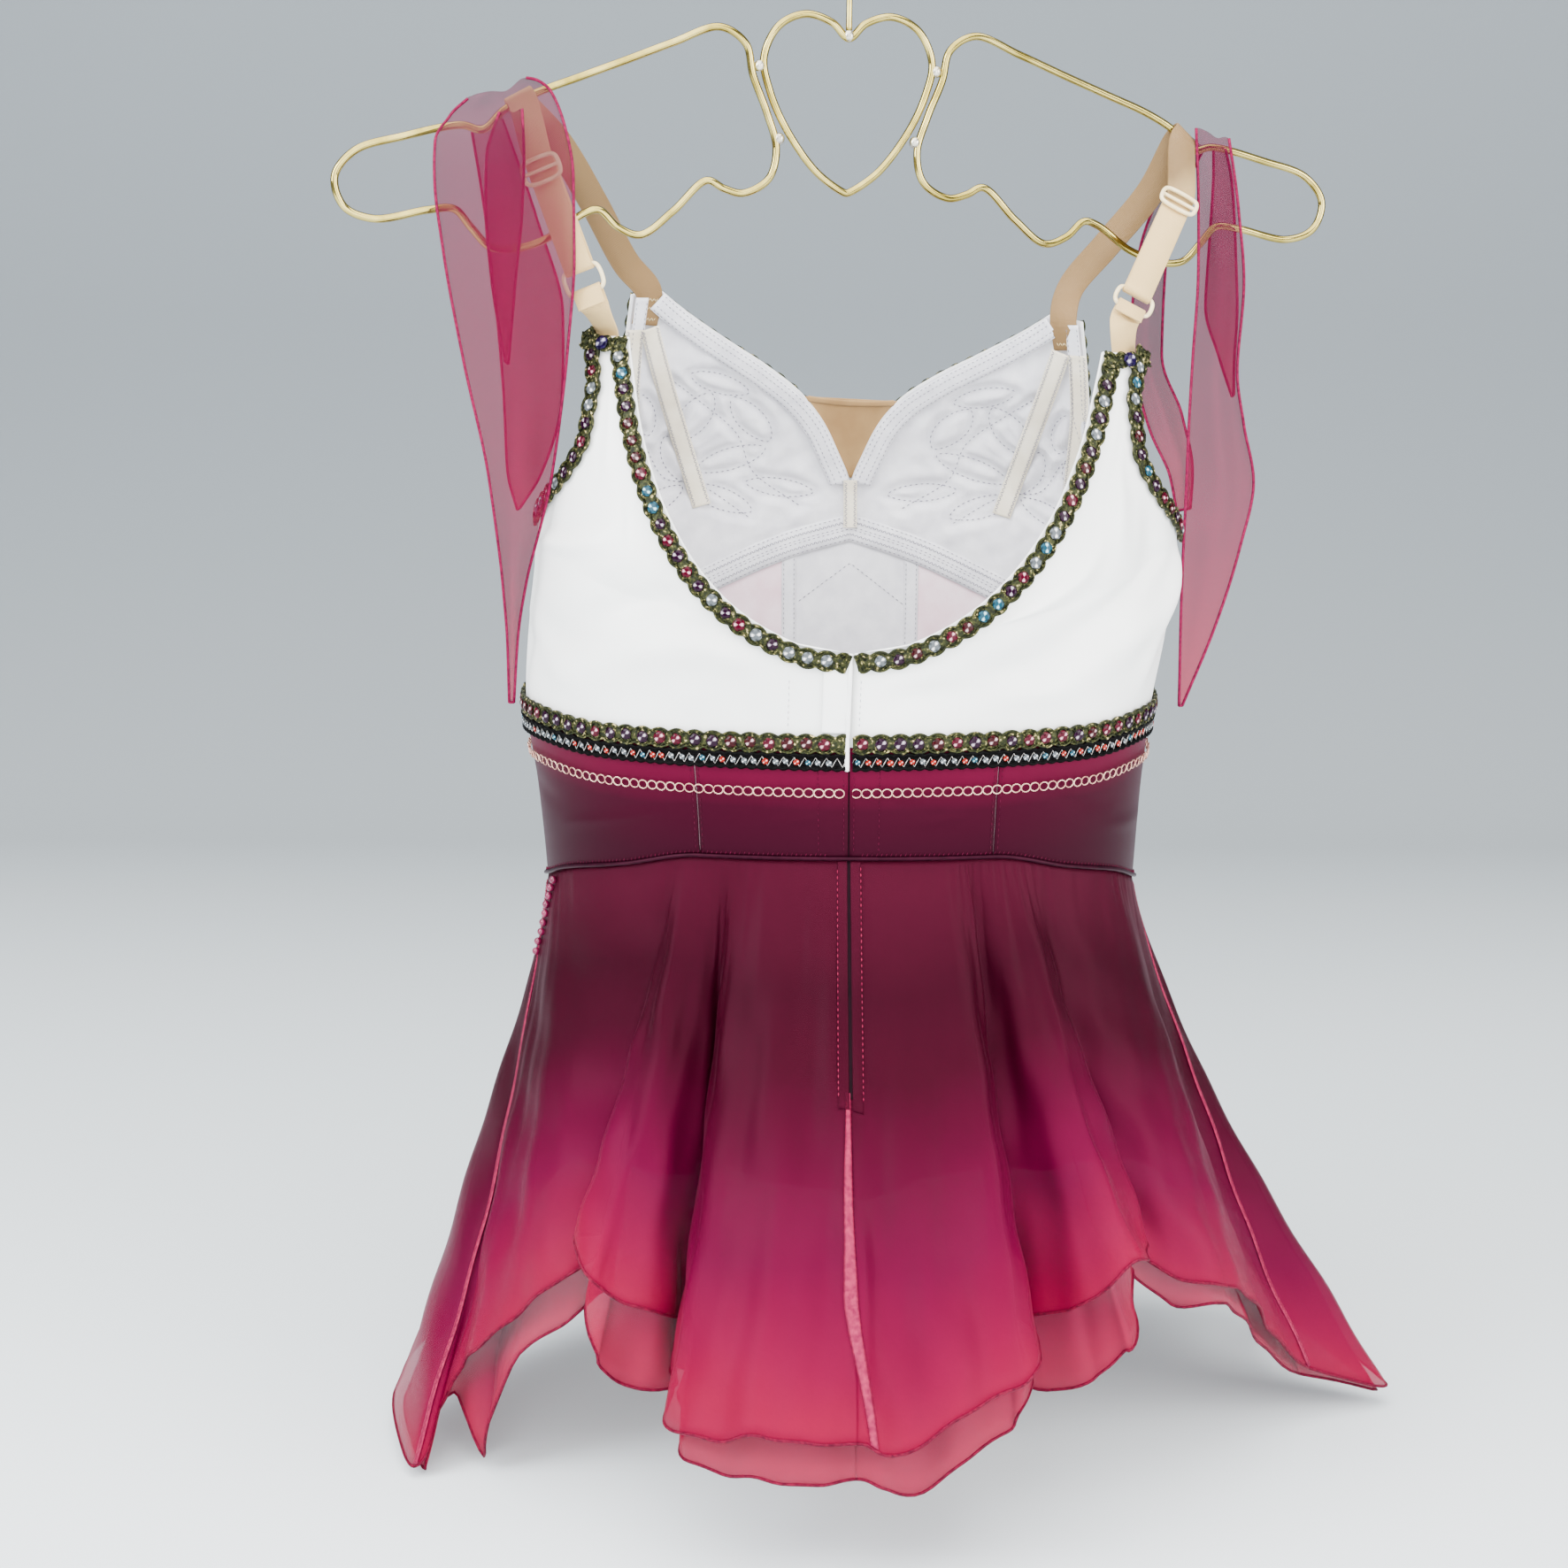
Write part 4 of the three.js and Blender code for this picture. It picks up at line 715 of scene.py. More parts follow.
def tape_piece(name, line, width, rows, low=0.0, look=lining):
    """A tape with rows of stitches at the given places across it, some of them zigzag."""
    cloth(name, inside_strip(line, width, low=low), STRIP, look)
    sewn = []
    for across, kind in rows:
        if kind == "zigzag":
            sewn.append(zigzag(line, 1.9, 1.5, across, low + 0.62, 0.42))
        else:
            sewn.append(row_of(line, 2.2, across, low + 0.62, 1.5, 0.42))
    piece(f"{name}_stitches", sewn, thread_painted_grey)


FACE = -SEAM - CLOTH - 2.5
BONE = smooth_line([(45.5, -225), (40, -247), (35, -272), (30, -302)], 70)
SIDE_BONE = smooth_line([(50, -226), (49, -250), (47, -280), (44, -318)], 70)
NECK_ROWS = [(-3.8, "plain"), (-1.6, "plain"), (1.6, "plain"), (3.8, "plain")]
for side, turn, sign in SIDES:
    for part, bone in (("front", BONE), ("side", SIDE_BONE)):
        line = inside_line(sign * (180 - bone[:, 0]), bone[:, 1], FACE)
        rows = [(-3.2, "zigzag"), (3.2, "zigzag")]
        tape_piece(f"bone_casing_{part}_{side}", line, 8.5, rows, look=tape)
    line = edge_ribbon(turn(front_area), 3, FRONT_PANEL, sign < 0, 9.0, FACE)
    tape_piece(f"neck_binding_{side}", line, 9.0, NECK_ROWS)
    line = edge_ribbon(turn(front_area), 4, FRONT_PANEL, sign > 0, 6.0, FACE)
    tape_piece(f"armhole_binding_{side}", line, 6.0, [(-2.4, "plain"), (2.4, "plain")])
    low, high = waist(PRINCESS_FRONT), underbust(PRINCESS_FRONT)
    height = low + (high - low) * np.linspace(0.1, 0.97, 60)
    line = inside_line(sign * PRINCESS_FRONT, height, -SEAM - CLOTH - 0.1)
    tape_piece(f"midriff_tape_{side}", line, 6.5, [(-2.3, "plain"), (2.3, "plain")])
angle = np.linspace(128, 232, 140)
line = inside_line(angle, underbust(angle) - 1.0, -SEAM - CLOTH - 0.6)
tape_piece("underbust_tape", line, 12.0, [
    (-5.0, "plain"), (-2.8, "zigzag"), (-0.6, "plain"), (0.6, "plain"), (2.8, "zigzag"), (5.0, "plain"),
])
angle = np.linspace(169.5, 190.5, 60)
chevron = inside_line(angle, -325.0 - 1.75 * np.abs(angle - 180), -SEAM - CLOTH)
piece("lining_chevron", [row_of(chevron, 2.5, 0, 0.25, 1.8, 0.5)], thread_painted_grey)
line = inside_line(180.0, np.linspace(-309, -287, 40), FACE)
tape_piece("notch_tape", line, 6.0, [(-2.0, "zigzag"), (2.0, "zigzag")], 0.5, tape)


# ---- Midriff ----
# Seven panels of satin dyed from magenta under the bust to dark burgundy at the waist, with
# princess seams topstitched on both sides.
PINK_GLOSS = (1, 0.32, 0.5, 1)


def ombre(name, weft, noise, stops, raised, clear=None, **sockets):
    """Cloth coloured by the share up it from its stops, made uneven by noise of a scale, a detail
    and a spread. The stops hold dye, and for the skirt also painted light just under the waist.
    Where it is clear, it hides one share of what is behind it low down and another high up."""
    look, tree, shader = finish_of(name, Sheen_Tint=PINK_GLOSS, Specular_Tint=PINK_GLOSS, **sockets)
    cut, threads = weave(tree, *weft)
    scale, detail, spread = noise
    given = {0: noise_of(tree, scale, detail), 1: spread, 2: -spread / 2}
    uneven = node(tree, "Math", given, operation="MULTIPLY_ADD")["Value"]
    share = node(tree, "SeparateXYZ", {0: cut})["Z"]
    shade = node(tree, "Math", {0: share, 1: uneven}, operation="ADD")["Value"]
    dyed(tree, shader, shade, stops)
    if clear:
        given = {"Value": shade, "To Min": clear[0], "To Max": clear[1]}
        tree.links.new(node(tree, "MapRange", given)["Result"], shader.inputs["Alpha"])
    bump(tree, shader, threads, *raised)
    return look


wine = ombre(
    "wine_satin", (900.0,), (22.0, 4.0, 0.16),
    [(0.0, (29, 0, 11)), (0.45, (38, 0, 15)), (0.62, (60, 1, 25)), (0.8, (74, 2, 32))], (0.15, 0.0001),
    Roughness=0.4, Sheen_Weight=0.02, Sheen_Roughness=0.35, Specular_IOR_Level=0.11,
)

MIDRIFF_CREASES = [
    (0.05, 0.6, 0.5, 0.45, 0.06, -0.4), (0.4, 0.3, 0.95, 0.38, 0.05, 0.45), (0.1, 0.18, 0.7, 0.1, 0.05, -0.4),
    (0.6, 0.75, 0.98, 0.68, 0.05, 0.4),
]
MIDRIFFS = [
    ("back", 0, PRINCESS_BACK, 30, (0.061, 0.046), 0.0028),
    ("side", PRINCESS_BACK, 90, 60, (0.116, 0.074), 0.0068),
    ("front", 90, PRINCESS_FRONT, 70, (0.157, 0.139), 0.015),
]
DYED = 46


def dyed_grid(area, n, m):
    """A panel's grid and its share up a band that hangs from the seam under the bust."""
    angle, height = area(*shares(n, m))
    return torso(angle, height, CLOTH), np.maximum(0, 1 - (underbust(angle) - height) / DYED)


def outside_line(angle, height, out):
    """A ribbon on the outer side of the body, whose way out points away from it."""
    points = torso(angle, height, out)
    return ribbon(points, points - torso(angle, height, 0))


def seam_line(angle):
    """A ribbon up the midriff at one angle, clear of its two seams and of the black braid."""
    height = np.linspace(waist(angle) + 2.5, underbust(angle) - 9, 40)
    return outside_line(angle, height, CLOTH + 0.15)


thread_wine = mottled(
    "wine_thread", 1500.0, 2.0, [(0.3, (34, 2, 16)), (0.7, (88, 12, 44))],
    Roughness=0.5, Specular_Tint=PINK_GLOSS, Specular_IOR_Level=0.2,
)

for side, turn, _ in SIDES:
    for part, start, end, count, flat, area in MIDRIFFS:
        grid, share = dyed_grid(turn(band(start, end)), count, 50)
        grid = creased(grid, MIDRIFF_CREASES)
        stands_for = [f"midriff_{part}_{side}"]
        made = cloth(f"satin_midriff_{part}_{side}", grid, CLOTH, wine, stands_for, share)
grid, share = dyed_grid(band(PRINCESS_FRONT, 360 - PRINCESS_FRONT), 40, 50)
stands_for = ["midriff_front_centre"]
made = cloth("satin_midriff_front_centre", grid, CLOTH, wine, stands_for, share)
topstitching = []
for sign in (1, -1):
    for angle in (PRINCESS_BACK, 90, PRINCESS_FRONT):
        line = seam_line(sign * angle)
        topstitching += [row_of(line, 2.4, across, 0.1, 1.8, 0.32) for across in (-1.5, 1.5)]
for angle in (0.9, 5.4, -0.9, -5.4):
    topstitching.append(row_of(seam_line(angle), 2.4, 0.0, 0.1, 1.8, 0.32))
piece("midriff_topstitching", topstitching, thread_wine)


# ---- Skirt ----
# Two layers of sheer organza, each cut in quarters with long points at the sides, dyed from
# plum at the waist to bright pink at the hem, a little gathered into the waist seam. Just under
# the waist the colour is painted lighter again, as painted light from above on the gathers.
FOLDS = np.array([
    (0, 4, -190, -628, 13, 6), (5, 15, -191, -631, 12, 6), (10, 32, -187, -625, 19, 7),
    (15, 51, -178, -617, 17, 7), (19.5, 70, -166, -609, 15, 5), (21.5, 74, -138, -606, 16, 4),
    (23, 64, -112, -606, 24, 4), (25.5, 78, -120, -602, 33, 6), (28.5, 95, -131, -594, 33, 12),
    (31.5, 113, -127, -578, 36, 9), (34, 121, -106, -580, 26, 5), (38, 115, -88, -586, 12, 4),
    (46, 132, -91, -597, 12, 5), (58, 152, -84, -605, 7, 5), (68, 165, -72, -613, 5, 5),
    (77, 177, -50, -635, 4, 5), (86, 200, -26, -663, 2, 5), (90, 236, -2, -679, 0, 5),
    (95, 207, 26, -655, 2, 5), (103, 202, 58, -650, 2, 5), (110, 224, 90, -668, 0, 6),
    (117, 190, 95, -630, 8, 5), (124, 160, 84, -602, 14, 4), (131, 152, 112, -592, 22, 6),
    (137, 132, 134, -584, 30, 9), (142, 112, 138, -588, 30, 7), (147, 98, 114, -596, 22, 4),
    (152, 84, 128, -604, 16, 5), (158, 74, 156, -612, 14, 5), (165, 50, 173, -620, 16, 7),
    (173, 23, 180, -628, 18, 7), (180, 0, 182, -632, 18, 7), (188, -26, 179, -627, 18, 7),
    (196, -52, 170, -618, 16, 7), (202, -74, 150, -612, 14, 5), (208, -82, 122, -604, 18, 4),
    (214, -98, 114, -594, 26, 5), (220, -118, 132, -586, 30, 9), (227, -138, 122, -592, 22, 7),
    (234, -144, 96, -602, 14, 4), (242, -154, 74, -620, 8, 5), (251, -170, 48, -645, 4, 5),
    (260, -188, 8, -666, 0, 5), (267, -197, -30, -673, 0, 5), (272, -176, -88, -684, 0, 7),
    (277, -164, -74, -650, 8, 6), (283, -149, -82, -634, 46, -3), (291, -134, -93, -616, 16, 2),
    (302, -113, -98, -598, 18, 5), (325, -97, -90, -584, 20, 3), (328.5, -107, -112, -578, 28, 3),
    (331, -97, -133, -587, 32, 7), (333.5, -80, -131, -599, 34, 8), (335.5, -64, -116, -608, 28, 4),
    (337.5, -58, -100, -612, 22, 10), (339.5, -70, -130, -622, 14, 4), (341.5, -68, -163, -630, 10, 5),
    (346, -50, -181, -630, 12, 7), (351, -30, -189, -626, 16, 6), (356, -10, -191, -626, 15, 6),
])
QUARTERS = {"back_right": (0, 16), "front_right": (16, 31), "front_left": (31, 44), "back_left": (44, 60)}
whole_turn = np.array([360, 0, 0, 0, 0, 0])
hem_rows = np.concatenate([FOLDS[-3:] - whole_turn, FOLDS, FOLDS[:3] + whole_turn])
hem_angle, hem_x, hem_y, hem_z, hem_under, hem_inset = (
    follow(np.arange(-3, len(FOLDS) + 3), hem_rows[:, k]) for k in range(6)
)


def cloth_line(u, v, under):
    """From the waist seam at the fold's own angle to its own hem point: sideways by the power
    1.25 of the way down, and down in proportion to it."""
    angle = hem_angle(u)
    top = torso(angle, waist(angle) - 0.15, CLOTH / 2)
    down = np.maximum(0, 1 - v)
    spread = (down ** 1.25)[..., None]
    flat_hem = np.stack([hem_x(u), hem_y(u)], axis=-1)
    sideways = top[..., :2] + (flat_hem - top[..., :2]) * spread
    fall = top[..., 2] + (hem_z(u) - under * hem_under(u) - top[..., 2]) * down
    return np.concatenate([sideways, fall[..., None]], axis=-1)


def moved_in(u, v, under, out):
    """The cloth's line moved along its normal, taken over a quarter of a fold row."""
    across = cloth_line(u + 0.25, v, under) - cloth_line(u - 0.25, v, under)
    up = cloth_line(u, v + 0.002, under) - cloth_line(u, v - 0.002, under)
    return cloth_line(u, v, under) + unit(np.cross(across, up)) * np.asarray(out)[..., None]


def creases(u, v):
    """Tucks that leave the waist seam and die out, and soft uneven creases that grow towards the
    hem: sines of the fold row, each a whole number of times round the skirt, and of the height."""
    turn = 2 * np.pi * u / len(FOLDS)
    down = 1 - v
    tucks = np.sin(108 * turn) + 0.7 * np.sin(188 * turn + 1) + 0.5 * np.sin(297 * turn + 2)
    soft = 3.1 * np.sin(29 * turn + 5 * v) * (0.55 + 0.45 * np.sin(7 * turn + 4 * v))
    fine = 0.4 * np.sin(71 * turn - 9 * v + 1)
    cross = 1.3 * np.sin(14 * turn + 14 * v) * np.sin(17 * v + 9 * turn)
    at_waist = 0.26 * tucks * np.exp(-down / 0.12) * np.minimum(1, down / 0.02)
    return at_waist + (soft + fine + cross) * down ** 0.7 * np.minimum(1, down / 0.1)


def hem_ripple(u, v):
    """The hem's small rises and falls, which fade over the lowest third of the cloth."""
    turn = 2 * np.pi * u / len(FOLDS)
    ripple = 1.2 * np.sin(23 * turn + 1) + 0.6 * np.sin(59 * turn) * np.sin(5 * turn)
    return ripple * np.maximum(0, 1 - v / 0.35) ** 2


def organza(name, stops, clear):
    """Sheer cloth of fine threads that lets light through."""
    return ombre(
        name, (420.0, 0.6), (12.0, 3.0, 0.22), stops, (0.22, 0.0001), clear,
        Roughness=0.45, Sheen_Weight=0.03, Sheen_Roughness=0.3, Specular_IOR_Level=0.1,
    )


# The dye's run from hem to waist; its top stop is painted lighter, as painted light from above on the
# gathers.
OMBRE_AND_TOP_LIGHT = [
    (0.0, (122, 0, 44)), (0.1, (108, 0, 44)), (0.26, (82, 0, 38)), (0.42, (62, 0, 27)),
    (0.58, (42, 0, 15)), (0.75, (36, 0, 12)), (0.96, (50, 4, 21)),
]
PALER = [(at, (red + 14, green + 2, blue + 4)) for at, (red, green, blue) in OMBRE_AND_TOP_LIGHT]
SEWN_GLOSS = {"Specular_Tint": PINK_GLOSS, "Specular_IOR_Level": 0.2}
rolled_hem = mottled(
    "rolled_hem", 900.0, 2.0, [(0.3, (46, 0, 16)), (0.7, (104, 8, 40))], (0.6, 0.0003),
    Roughness=0.6, **SEWN_GLOSS,
)

SKIRT_FLATS = {
    "back_right": ((0.38, 0.24), 0.0455), "front_right": ((0.5, 0.257), 0.0525),
    "front_left": ((0.44, 0.255), 0.0525), "back_left": ((0.42, 0.255), 0.0475),
}
LAYERS = [
    ("skirt", 0, organza("ombre_organza", OMBRE_AND_TOP_LIGHT, (0.68, 0.87)), "ombre_organza", 180, 54),
    ("underskirt", 1, organza("under_organza", PALER, (0.72, 0.86)), "under_organza", 110, 36),
]
GAP = 0.004
SHEER = 0.4
for quarter, (start, end) in QUARTERS.items():
    for layer, under, look, slot, across, down in LAYERS:
        u = np.linspace(start + GAP, end - GAP, across)
        u, v = np.meshgrid(u, np.linspace(0, 1, down), indexing="ij")
        inwards = (2 + (np.maximum(hem_inset(u), 1.6) - 2) * (1 - v) ** 2) * under
        drop = torso(hem_angle(u), waist(hem_angle(u)), 0)[..., 2] - hem_z(u)
        level = 1 - (1 - v) * (1 + under * hem_under(u) / drop)
        grid = moved_in(u, v, under, SHEER / 2 - inwards + creases(u, level))
        grid[..., 2] += hem_ripple(u, v)
        made = cloth(f"{layer}_of_{quarter}", grid, SHEER, look, [f"{layer}_{quarter}"])
        flat, area = SKIRT_FLATS[quarter]
        edge = grid[:, 0] - normals_of(grid)[:, 0] * SHEER / 2
        piece(f"{layer}_hem_{quarter}", tube(edge, 0.6, 6, flat=(0, 0, 1)), rolled_hem)

# The seams between the quarters are pressed open and oversewn, and show pale. The back one is
# open below its sewn part as a slit, whose two edges are turned in and stitched.
pale_seam = mottled(
    "pale_seam", 500.0, 3.0, [(0.3, (100, 10, 46)), (0.7, (142, 36, 68))], Roughness=0.5, **SEWN_GLOSS,
)
# Near-black cloth for strips that stand for the shade in gaps: painted shadow.
shadow_gap = mottled(
    "shadow_gap", 300.0, 2.0, [(0.3, (8, 0, 4)), (0.7, (18, 1, 9))],
    Roughness=0.9, Specular_IOR_Level=0.1,
)
SLIT_END = 0.56
STRIP_ROWS = 90


def row_at(line, v):
    """The fold row at each height: what a line gives there, or one row all the way."""
    return line(v) if callable(line) else np.full(np.shape(v), float(line))


def skirt_strip(left, right, low, high, out, n=9):
    """A band of the outer skirt's surface between two lines of fold rows."""
    v = np.linspace(low, high, STRIP_ROWS)[None] * np.ones((n, 1))
    u = row_at(left, v) + (row_at(right, v) - row_at(left, v)) * np.linspace(0, 1, n)[:, None]
    grid = moved_in(u, v, 0, SHEER / 2 + out + creases(u, v))
    grid[..., 2] += hem_ripple(u, v)
    return grid


def skirt_line(at, low, high, out):
    """A ribbon up the outer skirt along a line of fold rows."""
    v = np.linspace(low, high, 140)
    u = row_at(at, v)
    points = moved_in(u, v, 0, out + creases(u, v))
    line = ribbon(points, moved_in(u, v, 0, out + 1 + creases(u, v)) - points)
    line["at"][:, 2] += hem_ripple(u, v)
    return line


left_edge = follow([0, 0.008, 0.135, 0.232, 0.386, SLIT_END], [60.45, 60.43, 59.92, 59.65, 59.67, 59.8])
right_edge = follow([0, 0.015, 0.22, 0.402, SLIT_END], [60.74, 60.72, 60.1, 59.98, 59.96])
grid = skirt_strip(left_edge, right_edge, 0.003, SLIT_END + 0.01, 0.45)
cloth("back_seam", grid, STRIP, pale_seam)
seam_sewing = [
    zigzag(skirt_line(edge, 0.004, SLIT_END, 0.85), 2.4, 1.2, wide=0.3) for edge in (left_edge, right_edge)
]
slit_sewing = []
for name, low, high, sewn in (("left", 59.5, 59.93, 59.5), ("right", 60.07, 60.45, 60.45)):
    grid = skirt_strip(low, high, SLIT_END - 0.02, 0.995, 0.5)
    share = np.linspace(SLIT_END, 1, STRIP_ROWS)[None]
    cloth(f"slit_hem_{name}", grid, 0.5, LAYERS[0][2], share=share)
    slit_sewing.append(row_of(skirt_line(sewn, SLIT_END, 0.99, 1.15), 2.4, 0, 0, 1.8, 0.5))
# A dark strip down the slit's opening stands for the shade there: painted shadow.
grid = skirt_strip(59.9, 60.1, SLIT_END, 0.995, 0.1, 4)
cloth("slit_painted_shadow", grid, STRIP, shadow_gap)
for name, row in (("right", 16), ("front", 31), ("left", 44)):
    line = skirt_line(row, 0.004, 0.985, 0.45)
    cloth(f"side_seam_{name}", inside_strip(line, 2.2, 0.35), STRIP, pale_seam)
    seam_sewing.append(zigzag(line, 2.2, 1.7, out=0.45, wide=0.3))
piece("skirt_seam_sewing", seam_sewing, rolled_hem)
piece("slit_sewing", slit_sewing, pale_seam)

# Nine round beads are sewn down the left hip from the waist.
hip_line = skirt_line(lambda v: 46.99 - (0.981 - v) / 0.151 * 2.12, 0.83, 0.981, 1.2)
hip_beads = mottled(
    "hip_beads", 200.0, 2.0, [(0.3, (64, 4, 30)), (0.7, (116, 22, 62))],
    Roughness=0.08, Coat_Weight=0.6, Specular_Tint=PINK_GLOSS,
)
strung = beside(hip_line, np.linspace(1.5, hip_line["far"][-1] - 1.5, 9), 0.0, 0.2)
piece("hip_beads", [beads(strung, (1.7, 1.7, 1.7))], hip_beads)


# ---- Waist piping ----
# A cord covered in dark satin, sewn into the waist seam right round.
CORD = 0.85
piping = mottled(
    "dark_piping", 300.0, 2.0, [(0.3, (14, 0, 6)), (0.7, (30, 2, 15))], (0.3, 0.0002),
    Roughness=0.4, Specular_Tint=PINK_GLOSS, Specular_IOR_Level=0.15,
)
turns = np.arange(0, 360, 0.75)
cord_line = torso(turns, waist(turns), CLOTH + CORD)
piece("piping", tube(cord_line, CORD, 8, True, (0, 0, 1)), piping, ["waist_piping"])
turns = np.arange(2, 358, 1.0)
whip_line = outside_line(turns, waist(turns) + 1.3, CLOTH + 0.3)
whipped = np.arange(END_GAP, whip_line["far"][-1] - END_GAP, 1.9)
whip_stitches = stitches(whip_line, whipped, 0.0, 0.25, 2.2, 0.34, 1.15)
piece("whip_stitches", [whip_stitches], thread_wine)


# ---- Braids and stones ----
# Metallic olive gimp braid sewn along the neck, the armholes and under the bust, with flat-back
# glass stones set down its middle; a black braid with small stones lies under the lower one.
BRAID = 8.3
SCALLOP = 7.4
TRIM_LOW = 1.9
THREAD = 0.42
ASKEW = (0.3, 0.2, 0.93)


def around(height):
    """A line right round the body under the trims, at a height that follows the angle."""
    angle = np.linspace(0.6, 359.4, 900)
    return outside_line(angle, height(angle), TRIM_LOW)


def flat_base(line, half, s):
    """A domed strip whose half width is given along its length: seven points across it."""
    s, t = np.meshgrid(s, np.linspace(-1, 1, 7), indexing="ij")
    return wall(beside(line, s, half[:, None] * t, 1.0 - 0.45 * t ** 2), 0.55)


def gimp(line, width, pitch):
    """A base with scalloped edges, whose half width swells with the sine of the length; a rope
    along each edge; and a thread beside each rope that loops twice in a scallop."""
    length = line["far"][-1]
    s = np.linspace(0, length, int(length / pitch * 9) + 2)
    swell = 1.5 * np.abs(np.sin(np.pi * s / pitch)) ** 0.8
    shells = [flat_base(line, width / 2 - 1.6 + swell, s)]
    turn = np.linspace(0, 4 * np.pi * length / pitch, int(length / pitch * 16) + 2)
    at = np.clip(turn * pitch / (4 * np.pi) + 0.6 * np.sin(turn), 0, length)
    loops = width / 2 - 2.2 + 0.8 * np.cos(turn) + 0.5 * np.sin(turn / 4) ** 2
    for side in (-1, 1):
        rope = beside(line, s, side * (width / 2 - 1.9 + swell), 1.05)
        shells += tube(rope, THREAD * 1.25, 5, flat=ASKEW)
        looped = beside(line, at, side * loops, 1.2 + 0.2 * np.sin(2 * turn))
        shells += tube(looped, THREAD * 0.8, 4, flat=ASKEW)
    return shells


GEM_SIDES = 10


def gems(line, far, across, size, low):
    """Flat-back cut stones: a girdle, a ring of facets turned by half a side, and a flat table.
    Each point also gets a painted light: painted shade on dark facets, painted glints on bright ones.
    """
    n = GEM_SIDES
    turn = np.arange(n) / n * 2 * np.pi
    half_turn = turn + np.pi / n
    rings = [(0.92, turn, 0.0), (1.0, turn, 0.16), (0.86, half_turn, 0.3), (0.56, turn, 0.42)]
    x = np.concatenate([r * np.cos(a) for r, a, _ in rings] + [[0.0]])
    y = np.concatenate([r * np.sin(a) for r, a, _ in rings] + [[0.0]])
    z = np.concatenate([np.full(n, h) for _, _, h in rings] + [[0.43]])
    radius = (size / 2)[:, None]
    points = beside(line, far[:, None] + x * radius, across[:, None] + y * radius, low + z * radius)
    k = np.arange(n)
    l = (k + 1) % n
    one = np.concatenate([
        np.stack([k, l, l + n], 1), np.stack([k, l + n, k + n], 1),
        np.stack([k + n, l + n, k + 2 * n], 1), np.stack([l + n, l + 2 * n, k + 2 * n], 1),
        np.stack([k + 2 * n, l + 3 * n, k + 3 * n], 1), np.stack([k + 2 * n, l + 2 * n, l + 3 * n], 1),
        np.stack([k + 3 * n, l + 3 * n, np.full(n, 4 * n)], 1),
    ])
    # Painted light for each facet: values under 1 are painted shade, the 5.0 ones painted glints.
    odd = np.where(k % 2 == 0, 0.12, 1.0)
    facets = np.where(k % 5 == 1, 5.0, 0.45)
    painted_sparkle = np.concatenate([np.full(n, 0.12), odd, odd[::-1] * 0.7, facets, [0.5]])
    return points.reshape(-1, 3), counted_on(one, len(x), len(far)), painted_sparkle


braid_gold = mottled(
    "olive_gold_braid", 700.0, 3.0,
    [(0.3, (8, 10, 4)), (0.47, (30, 34, 13)), (0.6, (56, 58, 27)), (0.72, (196, 180, 124))], (0.8, 0.0005),
    Metallic=0.45, Roughness=0.45, Specular_IOR_Level=0.2,
)
braid_black = mottled(
    "black_braid", 700.0, 3.0, [(0.35, (0, 0, 0)), (0.7, (9, 8, 9))], (0.8, 0.0004),
    Roughness=0.6, Specular_IOR_Level=0.04,
)
silver = mottled(
    "silver_thread", 900.0, 2.0, [(0.3, (112, 110, 108)), (0.7, (206, 202, 196))],
    Metallic=0.9, Roughness=0.3,
)
# The glass's base colour is the stones' colour attribute, with painted glints and painted shade in it.
glass, tree, shader = finish_of("cut_glass", Roughness=0.08, Specular_IOR_Level=0.12)
tint_and_painted_glints = node(tree, "Attribute", attribute_name="tint_and_painted_glints")["Color"]
tree.links.new(tint_and_painted_glints, shader.inputs["Base Color"])

AMETHYST, FUCHSIA, RUBY, ICE = dye(38, 2, 34), dye(84, 0, 30), dye(60, 0, 10), dye(30, 84, 104)
CLEAR, ORANGE, NIGHT = dye(110, 117, 122), dye(164, 22, 0), dye(26, 8, 60)


def set_stones(name, line, step, size, palette, slot, seed, low=1.1, edge=3.7, stop=3.0):
    """Stones along a ribbon a step apart, each tinted from the palette in a fixed mixed order,
    with painted glints and painted facet shade multiplied into their colour.
    """
    rng = np.random.default_rng(seed)
    far = np.arange(edge, line["far"][-1] - stop, step)
    far = far + rng.uniform(-0.25, 0.25, len(far))
    sizes = size * rng.uniform(0.92, 1.08, len(far))
    tints = np.array([palette[i] for i in rng.permutation(np.arange(len(far)) % len(palette))])
    aside = rng.uniform(-0.3, 0.3, len(far))
    points, faces, painted_sparkle = gems(line, far, aside, sizes, low)
    bright = painted_sparkle[None, :, None]
    painted_glints = np.clip(tints[:, None] * bright + np.maximum(bright - 1, 0) * 0.12, 0, 1)
    tint_and_painted_glints = np.concatenate([painted_glints, np.ones((*painted_glints.shape[:2], 1))], axis=-1).reshape(-1, 4)
    piece(name, [(points, faces)], glass, smooth=False, values={"tint_and_painted_glints": tint_and_painted_glints})


